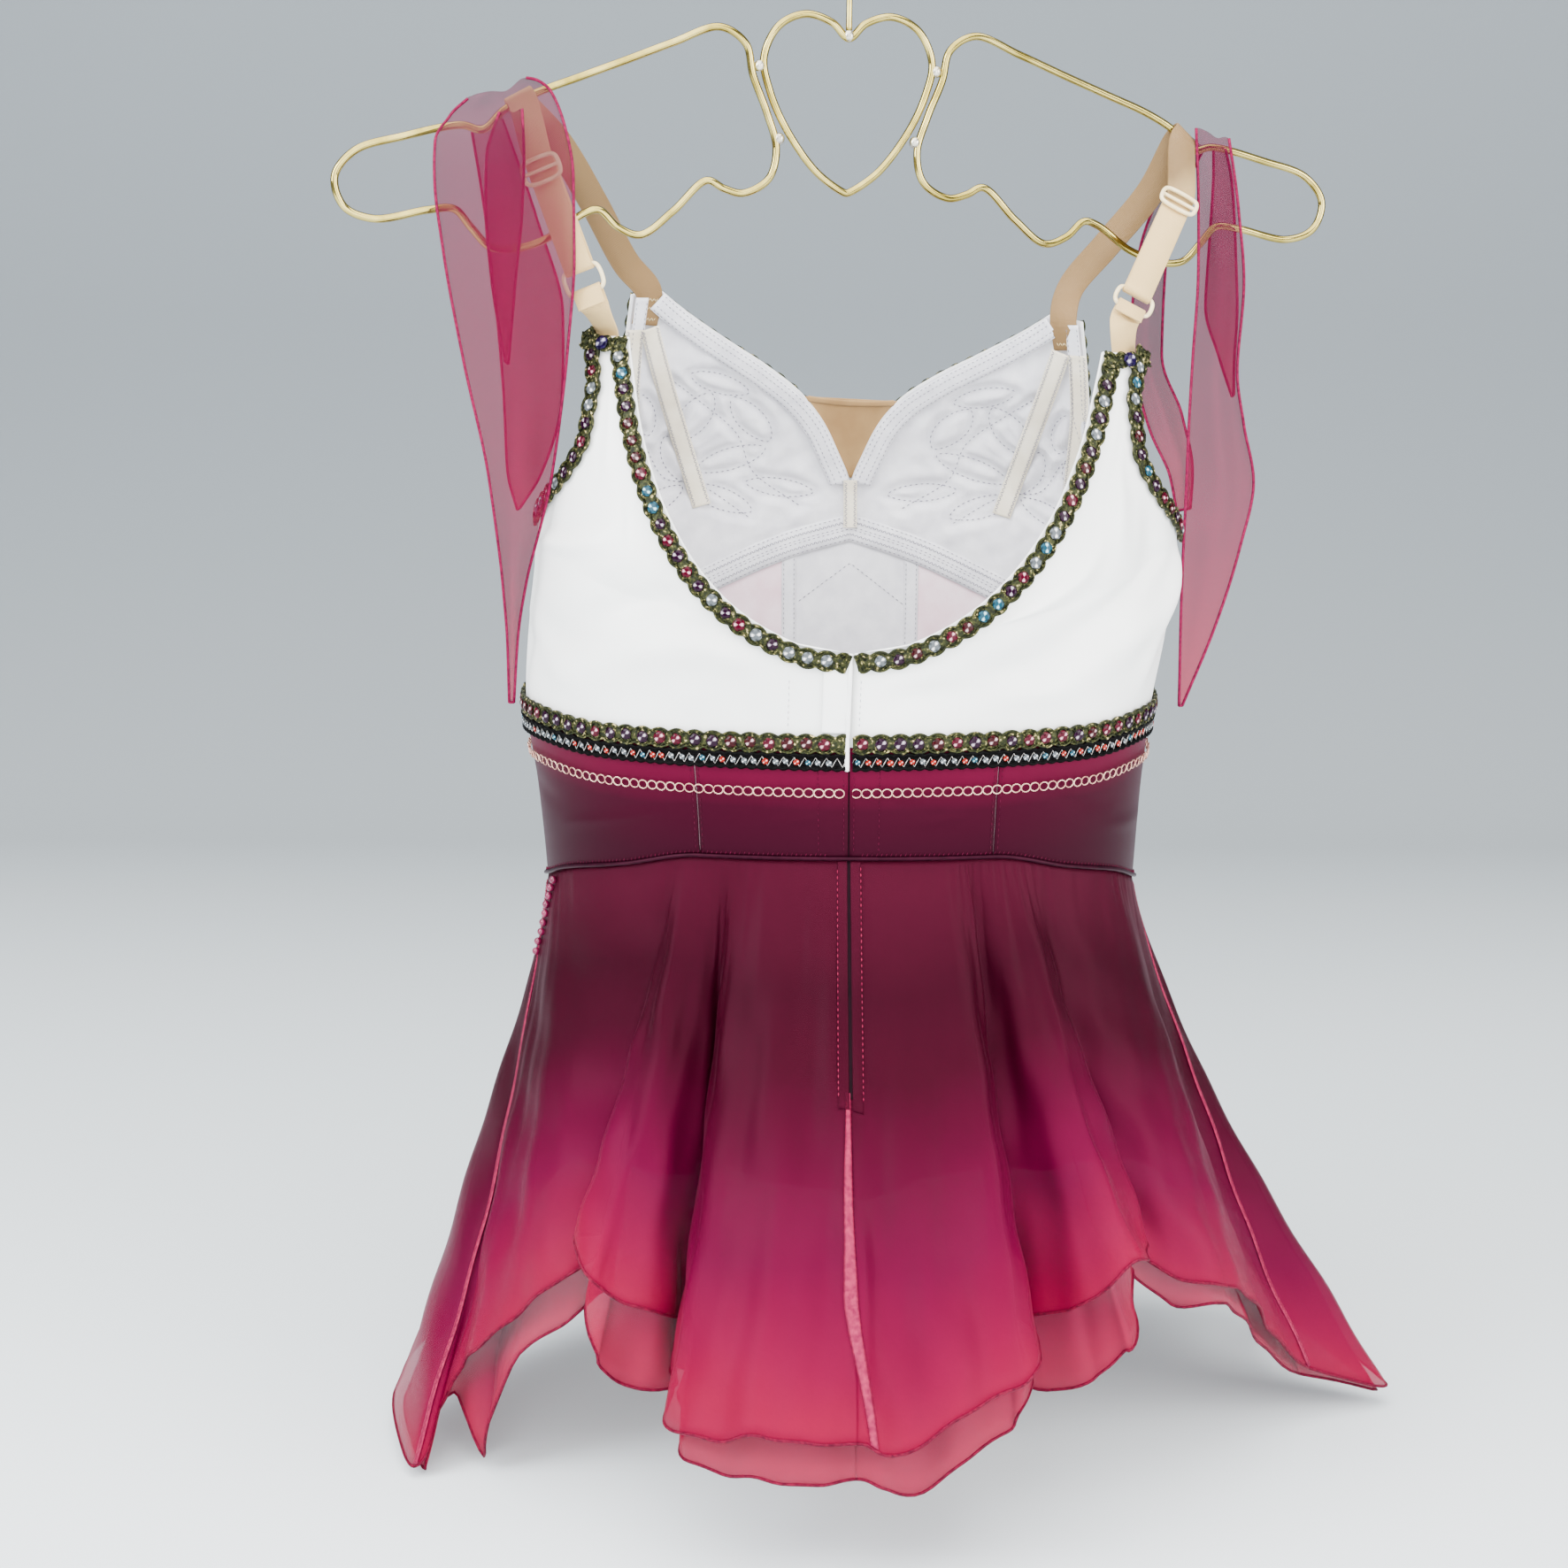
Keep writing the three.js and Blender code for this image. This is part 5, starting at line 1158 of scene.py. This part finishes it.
EDGES = [
    ("neck_back", back_area, BACK_PANEL, 3, True, 11), ("armhole_back", back_area, BACK_PANEL, 4, False, 12),
    ("neck_front", front_area, FRONT_PANEL, 3, False, 13),
    ("armhole_front", front_area, FRONT_PANEL, 4, True, 14),
]
MIXED = [AMETHYST, FUCHSIA, CLEAR, RUBY, ICE, AMETHYST, CLEAR]
for place_name, area, rows, first, inner, seed in EDGES:
    for side, turn, _ in SIDES:
        right = side == "right"
        line = edge_ribbon(turn(area), first, rows, inner == right, BRAID, TRIM_LOW)
        stands_for = [f"{place_name.replace('_', '_braid_')}_{side}"]
        gimp_name = f"gimp_{place_name}_{side}"
        piece(gimp_name, gimp(line, BRAID, SCALLOP), braid_gold, stands_for)
        set_stones(
            f"stones_{place_name}_{side}", line, SCALLOP, 4.8, MIXED, "gold_braid", seed + 40 * right,
            edge=SCALLOP * 1.5, stop=7.5,
        )
for side, turn, _ in SIDES:
    angle, height = turn(back_area)(np.linspace(0.02, 0.98, 60), np.full(60, 0.978))
    line = outside_line(angle, height, TRIM_LOW + 0.5)
    piece(f"gimp_point_{side}", gimp(line, 7.0, 5.5), braid_gold)
    middle = line["far"][-1] / 2
    one_stone = {"edge": middle, "stop": middle - 1}
    set_stones(f"stones_point_{side}", line, 5.0, 6.6, [NIGHT], "gold_braid", 31, **one_stone)

wide_line = around(lambda angle: underbust(angle) + 1.5)
piece("gimp_underbust", gimp(wide_line, 8.4, SCALLOP), braid_gold, ["underbust_braid"])
DEEP = [AMETHYST, FUCHSIA, AMETHYST, RUBY]
set_stones("stones_underbust", wide_line, SCALLOP, 4.8, DEEP, "gold_braid", 21)
black_line = around(lambda angle: underbust(angle) - 5.6)
BEAD_STEP = 4.2
s = np.linspace(0, black_line["far"][-1], int(black_line["far"][-1] / BEAD_STEP * 6) + 2)
wave = np.sin(2 * np.pi * s / BEAD_STEP)
cords = [flat_base(black_line, np.full(len(s), 2.9), s)]
for side in (-1, 1):
    for off, thread in ((2.7, 0.75), (1.9, 0.4)):
        path = beside(black_line, s, side * (off + 0.3 * wave), 1.0 + 0.15 * wave)
        cords += tube(path, thread, 5, flat=ASKEW)
piece("gimp_black", cords, braid_black, ["underbust_black_braid"])
s = np.arange(0, black_line["far"][-1], BEAD_STEP / 4)
lean = np.array([0, 1, 0, -1])[np.arange(len(s)) % 4]
silver_path = beside(black_line, s, 1.9 * lean, 1.15)
piece("silver_zigzag", tube(silver_path, 0.2, 4, flat=ASKEW), silver)
SMALL = [CLEAR, ICE, ORANGE, CLEAR, ORANGE, CLEAR]
set_stones("stones_black", black_line, BEAD_STEP, 2.4, SMALL, "black_braid", 22, low=1.15, edge=2.1)


# ---- Ring chain ----
# A trim of oval rings in rose metal, linked flat in a row, sewn round the midriff.
rose = mottled(
    "rose_rings", 260.0, 2.0, [(0.3, (168, 112, 100)), (0.7, (216, 176, 156))],
    Metallic=0.7, Roughness=0.22,
)
chain_line = around(lambda angle: underbust(angle) - 18.0)


def oval_rings(line, pitch, height, wire):
    """Each ring is an ellipse on the cloth, with a circle carried round it; all are one array."""
    far = np.arange(1.6, line["far"][-1] - 1.6, pitch)
    n, m = 14, 6
    turn, small = np.arange(n) / n * 2 * np.pi, np.arange(m) / m * 2 * np.pi
    x = np.cos(turn)[:, None] * (pitch * 0.56 - wire + wire * np.cos(small))
    y = np.sin(turn)[:, None] * (height / 2 - wire + wire * np.cos(small))
    z = np.broadcast_to(wire * np.sin(small), x.shape)
    lift = 0.6 + 0.3 * (np.arange(len(far)) % 2)
    points = beside(line, far[:, None] + x.ravel(), y.ravel(), lift[:, None] + z.ravel())
    i, k = np.meshgrid(np.arange(n), np.arange(m), indexing="ij")
    j, l = (i + 1) % n, (k + 1) % m
    one = np.stack([i * m + k, j * m + k, j * m + l, i * m + l], -1).reshape(-1, 4)
    return [(points.reshape(-1, 3), counted_on(one, n * m, len(far)))]


piece("ring_chain", oval_rings(chain_line, 4.0, 4.0, 0.28), rose, ["chain_trim"])


# ---- Placket and insert ----
# A strip of satin stitched down the left edge of the back opening, and a nude power-net insert
# that fills the notch of the front neckline.
def placket_area(u, v):
    """The placket's band: straight up from clear of the seam, beside the centre back."""
    angle = -4.8 + 4.4 * u
    low = underbust(angle) + 5.8
    return angle, low + (-349.5 - low) * v


grid = laid_on(placket_area, 12, 40, CLOTH + 1.4)
made = cloth("placket", grid, 0.8, satin, ["placket_band"])
edge_height, aside = np.meshgrid(np.linspace(-393, -347, 60), np.linspace(-1, 1, 9))
bulge = 3.4 - 1.1 * aside ** 2 + 0.3 * np.sin(edge_height * 0.4)
cloth("satin_back_edge", torso(-0.35 + 0.45 * aside, edge_height, bulge), 0.7, satin)
facing_sewing = []
for angle in (-10.5, -1.4, 1.6):
    line = outside_line(angle, np.linspace(-376, -357, 40), CLOTH + 0.2)
    facing_sewing.append(row_of(line, 2.4, 0, 0.05, 1.7, 0.26))
piece("back_facing_sewing", facing_sewing, thread_painted_grey)
# A dark strip behind the centre back gap of the midriff stands for the shade there: painted shadow.
angle, height = np.meshgrid(np.linspace(-0.5, 0.5, 4), np.linspace(0, 1, 40), indexing="ij")
grid = torso(angle, waist(angle) + (underbust(angle) - waist(angle)) * height, 0.9)
cloth("back_opening_painted_shadow", grid, 0.5, shadow_gap)
nude = woven(
    "nude_net", 1300.0, (60.0, 3.0), [(0.3, (138, 104, 58)), (0.7, (164, 130, 80))], (0.3, 0.0002),
    Roughness=0.7, Sheen_Weight=0.1,
)
insert_half = follow([-287, -281, -272, -262.5, -252], [0.4, 0.9, 2.4, 4.6, 8.5])


def insert_area(u, v):
    """The insert: on both sides of the centre front, by a half width that grows upwards."""
    height = -287 + 35 * v
    return 180 + (2 * u - 1) * (insert_half(height) + 1.2), height


grid = laid_on(insert_area, 30, 30, CLOTH * 0.8)
made = cloth("insert", grid, 0.5, nude, ["modesty_insert"])
across = np.linspace(-8.6, 8.6, 60)
line = inside_line(180 + across, -253.6 + 0.015 * across ** 2, 0.1)
cloth("insert_edge", inside_strip(line, 2.8), STRIP, nude)


# ---- Straps ----
# Nude satin-faced elastic, 12 mm wide: sewn inside the front, over the hanger's wire, down the
# back through a coated slider, round a ring and up again. A short tab holds the ring.
elastic, tree, shader = finish_of("nude_elastic", Roughness=0.5, Sheen_Weight=0.05)
cut, threads = weave(tree, 700.0)
along = node(tree, "SeparateXYZ", {0: cut})["Z"]
given = {0: noise_of(tree, 40.0, 3.0), 1: 0.12, 2: along}
tone = node(tree, "Math", given, operation="MULTIPLY_ADD")["Value"]
ALONG = [(0.0, (196, 164, 108)), (0.5, (206, 174, 116)), (0.62, (112, 84, 42)), (1.0, (122, 92, 48))]
dyed(tree, shader, tone, ALONG)
bump(tree, shader, threads, 0.5, 0.0002)
coated = mottled(
    "cream_coating", 200.0, 2.0, [(0.3, (214, 192, 140)), (0.7, (232, 214, 170))],
    Roughness=0.3, Coat_Weight=0.4,
)
ELASTIC_WIDE, ELASTIC_THICK, STRAP_LONG = 12, 1, 260
METAL = 0.9
METAL_WIDE = 14.8
STRAPS = {
    "left": {
        "row": 6.45, "slider": (-122.5, -38, -160), "ring": (-106.5, -41, -203), "turn": -8,
        "rise": [(-119.5, -15, -147), (-106.5, 8, -171), (-95.5, 27, -194)],
    },
    "right": {
        "row": 7.42, "slider": (135.5, 20, -171), "ring": (114, -24, -211), "turn": 24,
        "rise": [(127, 41, -164), (109, 42, -186), (94, 42, -204)],
    },
}


def wing_point(sign, row):
    """The point of a wing's line at a share between two rows of its table."""
    stops = WING * [sign, 1]
    line = smooth_line(stops, len(WING) * 60, closed=True)
    start, share = int(row), row - int(row)
    rows = [stops[(start + k) % len(WING)] for k in (0, 1)]
    near = [np.argmin(np.linalg.norm(line - stop, axis=1)) for stop in rows]
    at = int(round(near[0] + (near[1] - near[0]) * share))
    return on_hanger(line[at:at + 1])[0]


def webbing(stops, sides):
    """A flat band along smoothed stops: eight corners round each place, with rounded edges."""
    count = 150
    path = smooth_line(stops, count)
    near = np.argmin(np.linalg.norm(path[:, None] - np.asarray(stops)[None], axis=2), axis=0)
    near = np.maximum.accumulate(near)
    side = [np.interp(np.arange(count), near, np.asarray(sides)[:, k]) for k in range(3)]
    side = np.stack(side, axis=1)
    way = unit(np.gradient(path, axis=0))
    across = unit(side - way * np.sum(side * way, axis=1, keepdims=True))
    out = np.cross(way, across)
    a = np.array([-1, -0.94, 0, 0.94, 1, 0.94, 0, -0.94]) * ELASTIC_WIDE / 2
    b = np.array([0, -1, -1, -1, 0, 1, 1, 1]) * ELASTIC_THICK / 2
    points = path[:, None] + across[:, None] * a[None, :, None] + out[:, None] * b[None, :, None]
    far = lengths(path)[:, None]
    cut = np.stack(np.broadcast_arrays(a * 0.001, far * 0.001, far / STRAP_LONG), -1).reshape(-1, 3)
    i = np.arange(count - 1)[:, None] * 8
    k = np.arange(8)[None]
    l = (k + 1) % 8
    faces = np.stack([i + k, i + l, i + 8 + l, i + 8 + k], -1).reshape(-1, 4)
    ends = np.array([(7, 6, 5, 4), (4, 3, 2, 1), (7, 4, 1, 0)])
    caps = np.concatenate([ends, ends[:, ::-1] + (count - 1) * 8])
    return [(points.reshape(-1, 3), np.concatenate([faces, caps]))], {"cut": cut}


def metal_loop(middle, across, up, out, height, barred):
    """A rounded oblong of coated wire, with a bar across its middle where it is a slider."""
    corner = height * 0.16
    square = []
    for a, b in ((1, 1), (-1, 1), (-1, -1), (1, -1)):
        for p, q in ((0, 1), (1, 0)) if a * b > 0 else ((1, 0), (0, 1)):
            aside, rise = a * (METAL_WIDE / 2 - corner * p), b * (height / 2 - corner * q)
            square.append(middle + across * aside + up * rise)
    shells = tube(smooth_line(square, 96, closed=True), METAL, 10, True, out)
    if barred:
        bar = np.linspace(middle - across * 7.2, middle + across * 7.2, 12) - out * 0.2
        shells += tube(bar, 0.8, 8, flat=out)
    return shells


def facing_right(way):
    """The same way, or its opposite, so that it points to the right."""
    return way if way[0] >= 0 else -way


for side, _, sign in SIDES:
    facts = STRAPS[side]
    before, after = wing_point(sign, facts["row"] - 0.55), wing_point(sign, facts["row"] + 0.55)
    middle = (before + after) / 2
    wire_way = unit(after - before) * sign
    up_wire = -np.cross(wire_way, HANGER_FRONT)
    up_wire = unit(up_wire if up_wire[2] > 0 else -up_wire)
    turned = np.radians(facts["turn"])
    flat = np.array([np.cos(turned), np.sin(turned), 0])
    slider, ring = np.array(facts["slider"]), np.array(facts["ring"])
    up = unit(slider - ring)
    across = unit(flat - up * flat.dot(up))
    out = np.cross(across, up)
    reach = METAL + SEAM + ELASTIC_THICK / 2

    def near(point, outward, upward):
        """A point moved out from the strap and up along it."""
        return point + out * outward + up * upward

    def loop(bar, way):
        """The elastic's stops round a bar, from inside to outside, past it by its reach."""
        half = [(-1, way * 6), (-1, 0), (-0.7, -way * 0.7 * reach)]
        turns = half + [(0, -way * reach)] + [(-aside, rise) for aside, rise in half[::-1]]
        return [near(bar, share * reach, upward) for share, upward in turns]

    sewn = sign * (180 - 47)
    sewn_way = unit(torso(sewn - 2, -211) - torso(sewn + 2, -211))
    over = [
        middle + up_wire * 3.3 * np.cos(a) + HANGER_FRONT * 3.3 * np.sin(a)
        for a in np.radians([-100, -50, 0, 50, 95])
    ]
    inside = [torso(sewn, height, -3.2) for height in (-211, -224)]
    stops = [near(slider, -0.75, 3)] + loop(ring + up * 5, 1)
    stops += [near(slider, 0.75, 0), near(slider, 0.75, 6)]
    sides = [across] * len(stops)
    stops += over + [np.array(p, float) for p in facts["rise"]] + inside
    sides += [wire_way] * 5 + [wire_way + (sewn_way - wire_way) * t for t in (0.25, 0.5, 0.75)]
    shells, values = webbing(stops, [facing_right(way) for way in sides + [sewn_way] * 2])
    piece(f"elastic_{side}", shells, elastic, [f"strap_{side}"], values=values)
    tacks = []
    for height in (-213.5, -217, -221.5):
        line = inside_line(np.linspace(sewn - 3.1, sewn + 3.1, 30), height, -3.2 - 0.6)
        tacks.append(zigzag(line, 1.7, 1.8, wide=0.34))
    piece(f"bartacks_{side}", tacks, coated)
    tab = sign * 56.5
    tab_way = facing_right(torso(tab + 2, -228) - torso(tab - 2, -228))
    stops = [torso(tab, height, -1.7) for height in (-236, -228)] + loop(ring - up * 5, -1)
    shells, values = webbing(stops, [tab_way] * 2 + [across] * 7)
    piece(f"elastic_tab_{side}", shells, elastic, [f"strap_tab_{side}"], values=values)
    over_band = near(slider, 0.75 + ELASTIC_THICK / 2 + 2 * SEAM + METAL, 0)
    for name, at, height in (("ring", ring, 10), ("slider", over_band, 8.5)):
        shells = metal_loop(at, across, up, out, height, name == "slider")
        piece(f"{name}_{side}", shells, coated, [f"strap_{name}_{side}"])


# ---- Drapes ----
# A sash of single organza tied over each strap: its back half hangs in a leaf with a folded ply
# behind it, and its front half falls behind the wire. The edges are rolled.
DRAPES = {
    "left_back": [
        (-141.5, -375, -139.5, -375, -7, 0), (-141.5, -352, -137, -346, -5, 1),
        (-142.5, -325, -133, -325, -1, 3),
        (-145.5, -282, -121, -282, 11, 5), (-153.5, -235, -113, -230, 18, 6),
        (-159.5, -195, -109.5, -193, 22, 5),
        (-162.5, -168, -109.5, -164, 22, 4), (-163, -150, -113, -144, 16, 2),
        (-159, -139.5, -121, -128, 5, 0),
        (-152, -132.5, -129, -125, 3.8, 0),
    ],
    "left_ply": [
        (-138.3, -235, -137, -236, 12, 0), (-142.5, -202, -133, -202, 16, 1), (-144, -177, -130, -176, 17, 1),
        (-143.5, -156, -129, -154, 16, 0), (-139, -138, -130, -137, 11, 0),
    ],
    "left_front": [
        (-141, -297, -139.5, -296, -39, 0), (-145, -280, -131, -282, -41, 2),
        (-146, -250, -122, -250, -42, 4),
        (-148, -215, -121, -215, -40, 4), (-150, -175, -129, -178, -24, 2), (-152, -143, -139.5, -140, -4, 0),
    ],
    "right_back": [
        (139.5, -379, 141, -379, 29, 0), (139.5, -350, 154, -347, 28, 1), (140.5, -318, 165, -314, 22, 2),
        (142, -295, 171.5, -286, 15, 4), (143, -261, 167, -262, 12, 5), (144.5, -232, 164, -238, 8, 4),
        (146, -200, 166, -204, 7, 3), (145.5, -170, 163, -174, 6, 2), (144, -139, 158, -143.5, 3.8, 0),
    ],
    "right_ply": [
        (162.4, -250, 163.2, -249, 5, 0), (156.5, -232, 163.8, -236, 0, 0), (151, -212, 165, -214, -4, 0),
        (152, -188, 163.8, -190, -5, 0), (153, -160, 161, -160, -4, 0), (152, -146, 157, -147, 1, 0),
    ],
    "right_front": [
        (139, -298, 145, -297, 9, 0), (136, -283, 146, -280, 5, 1), (128, -262, 143, -258, -12, 3),
        (121, -225, 135, -232, -25, 4), (124, -190, 136, -195, -27, 2), (133, -162, 144, -160, -19, 0),
        (143, -142, 149, -146, -5, 0),
    ],
}


def leaf(rows, n, m):
    """A leaf between its left and right edges; its distance in front of the hanger's plane
    follows the rows, with a wave across it that is largest in the middle."""
    rows = np.array(rows, float)
    left, left_z, right, right_z, out, bow = (follow(np.arange(len(rows)), rows[:, k]) for k in range(6))
    u, v = np.meshgrid(np.linspace(0, 1, n), np.linspace(0, len(rows) - 1, m), indexing="ij")
    x = left(v) + (right(v) - left(v)) * u
    swell = bow(v) * np.sin(np.pi * u) * np.cos(2 * np.pi * u)
    crumple = np.exp(-((len(rows) - 1.3 - v) / 0.7) ** 2) * np.minimum(1, (right(v) - left(v)) / 40)
    forward = swell + crumple * (2.2 * np.sin(9 * u + 2) + 1.2 * np.sin(17 * u))
    y = x * math.tan(math.radians(HANGER_YAW)) - out(v) + forward
    rise = crumple * (2.2 * np.sin(8 * u) + 0.8 * np.sin(15 * u + 1))
    return np.stack([x, y, left_z(v) + (right_z(v) - left_z(v)) * u + rise], axis=-1)


SASH_DYES = [(0.0, (140, 4, 50)), (0.3, (106, 2, 44)), (0.7, (82, 2, 38)), (1.0, (78, 2, 38))]
drape_organza = organza("drape_organza", SASH_DYES, (0.52, 0.4))
drape_edge = mottled(
    "drape_edge", 900.0, 2.0, [(0.3, (70, 2, 32)), (0.7, (120, 8, 58))], Roughness=0.55, **SEWN_GLOSS,
)
DRAPE_FLATS = {
    "left_back": ((0.056, 0.26), 0.0089), "left_ply": ((0.018, 0.1), 0.0013),
    "left_front": ((0.031, 0.174), 0.0038), "right_back": ((0.034, 0.245), 0.0052),
    "right_ply": ((0.015, 0.096), 0.001), "right_front": ((0.021, 0.173), 0.0025),
}
for name, rows in DRAPES.items():
    grid = leaf(rows, 30, 110 if name.endswith("back") else 60)
    made = cloth(f"sash_{name}", grid, 0.35, drape_organza, [f"drape_{name}"])
    flat, area = DRAPE_FLATS[name]
    rim = np.concatenate([grid[0, ::-1], grid[1:-1, 0], grid[-1]])
    edge = tube(rim, 0.6, 6, flat=(0.2, 0.97, 0.1))
    piece(f"sash_edge_{name}", edge, drape_edge)


# ---- Stage ----
# A pale cloth-covered floor that curves up behind, darker towards the back as painted shade of
# the light falling off, and soft studio light.
FLOOR = -0.6885
floor_paint, tree, shader = finish_of("pale_floor", Roughness=0.9)
place = node(tree, "TexCoord")["Object"]
depth = node(tree, "SeparateXYZ", {0: place})["Y"]
depth = node(tree, "MapRange", {"Value": depth, "From Min": -0.6, "From Max": 1.8})["Result"]
# Painted shade: the floor's colour darkens with depth in place of the light's falloff.
PAINTED_FALLOFF = [(0.0, (236, 242, 246)), (0.4, (190, 198, 202)), (1.0, (114, 121, 126))]
dyed(tree, shader, depth, PAINTED_FALLOFF)
arc = np.linspace(0, np.pi / 2, 16)
bend = np.stack([1.3 + 0.5 * np.sin(arc), FLOOR + 0.5 - 0.5 * np.cos(arc)], axis=1)
profile = np.concatenate([[(-3.0, FLOOR)], bend, [(1.8, 3.0)]])
sides = np.array([-4.0, 4.0])[:, None]
sweep = np.stack(np.broadcast_arrays(sides, profile[:, 0], profile[:, 1]), axis=-1)
mesh = bpy.data.meshes.new("floor")
count = len(profile)
k = np.arange(count - 1)
faces = np.stack([k, k + count, k + count + 1, k + 1], 1)
mesh.from_pydata(sweep.reshape(-1, 3).tolist(), [], faces.tolist())
mesh.polygons.foreach_set("use_smooth", np.ones(len(mesh.polygons), bool))
mesh.materials.append(floor_paint)
floor = bpy.data.objects.new("floor", mesh)
bpy.context.scene.collection.objects.link(floor)


def soft_light(name, place, target, size, power, colour):
    """A square lamp at a place that faces a target."""
    lamp = bpy.data.lights.new(name, "AREA")
    lamp.size, lamp.energy, lamp.color = size, power, colour
    back = unit(np.array(place) - np.array(target))
    right = unit(np.cross((0, 0, 1), back))
    stand(bpy.data.objects.new(name, lamp), (right, np.cross(back, right), back), place)


soft_light("ceiling", (-0.3, -0.7, 1.5), (0, 0, -0.45), 3.0, 200, (1, 0.98, 0.96))
soft_light("window", (-1.7, -1.0, 0.5), (0, 0, -0.4), 1.2, 72, (0.95, 0.98, 1))
soft_light("fill", (1.7, -1.0, 0.2), (0, 0, -0.4), 1.4, 76, (1, 0.98, 0.96))
soft_light("front", (0.2, -2.1, -0.1), (0, 0, -0.45), 1.6, 56, (1, 1, 1))
world = bpy.data.worlds.new("studio")
world.use_nodes = True
world.node_tree.nodes["Background"].inputs[0].default_value = (0.86, 0.9, 0.95, 1)
world.node_tree.nodes["Background"].inputs[1].default_value = 0.65
bpy.context.scene.world = world
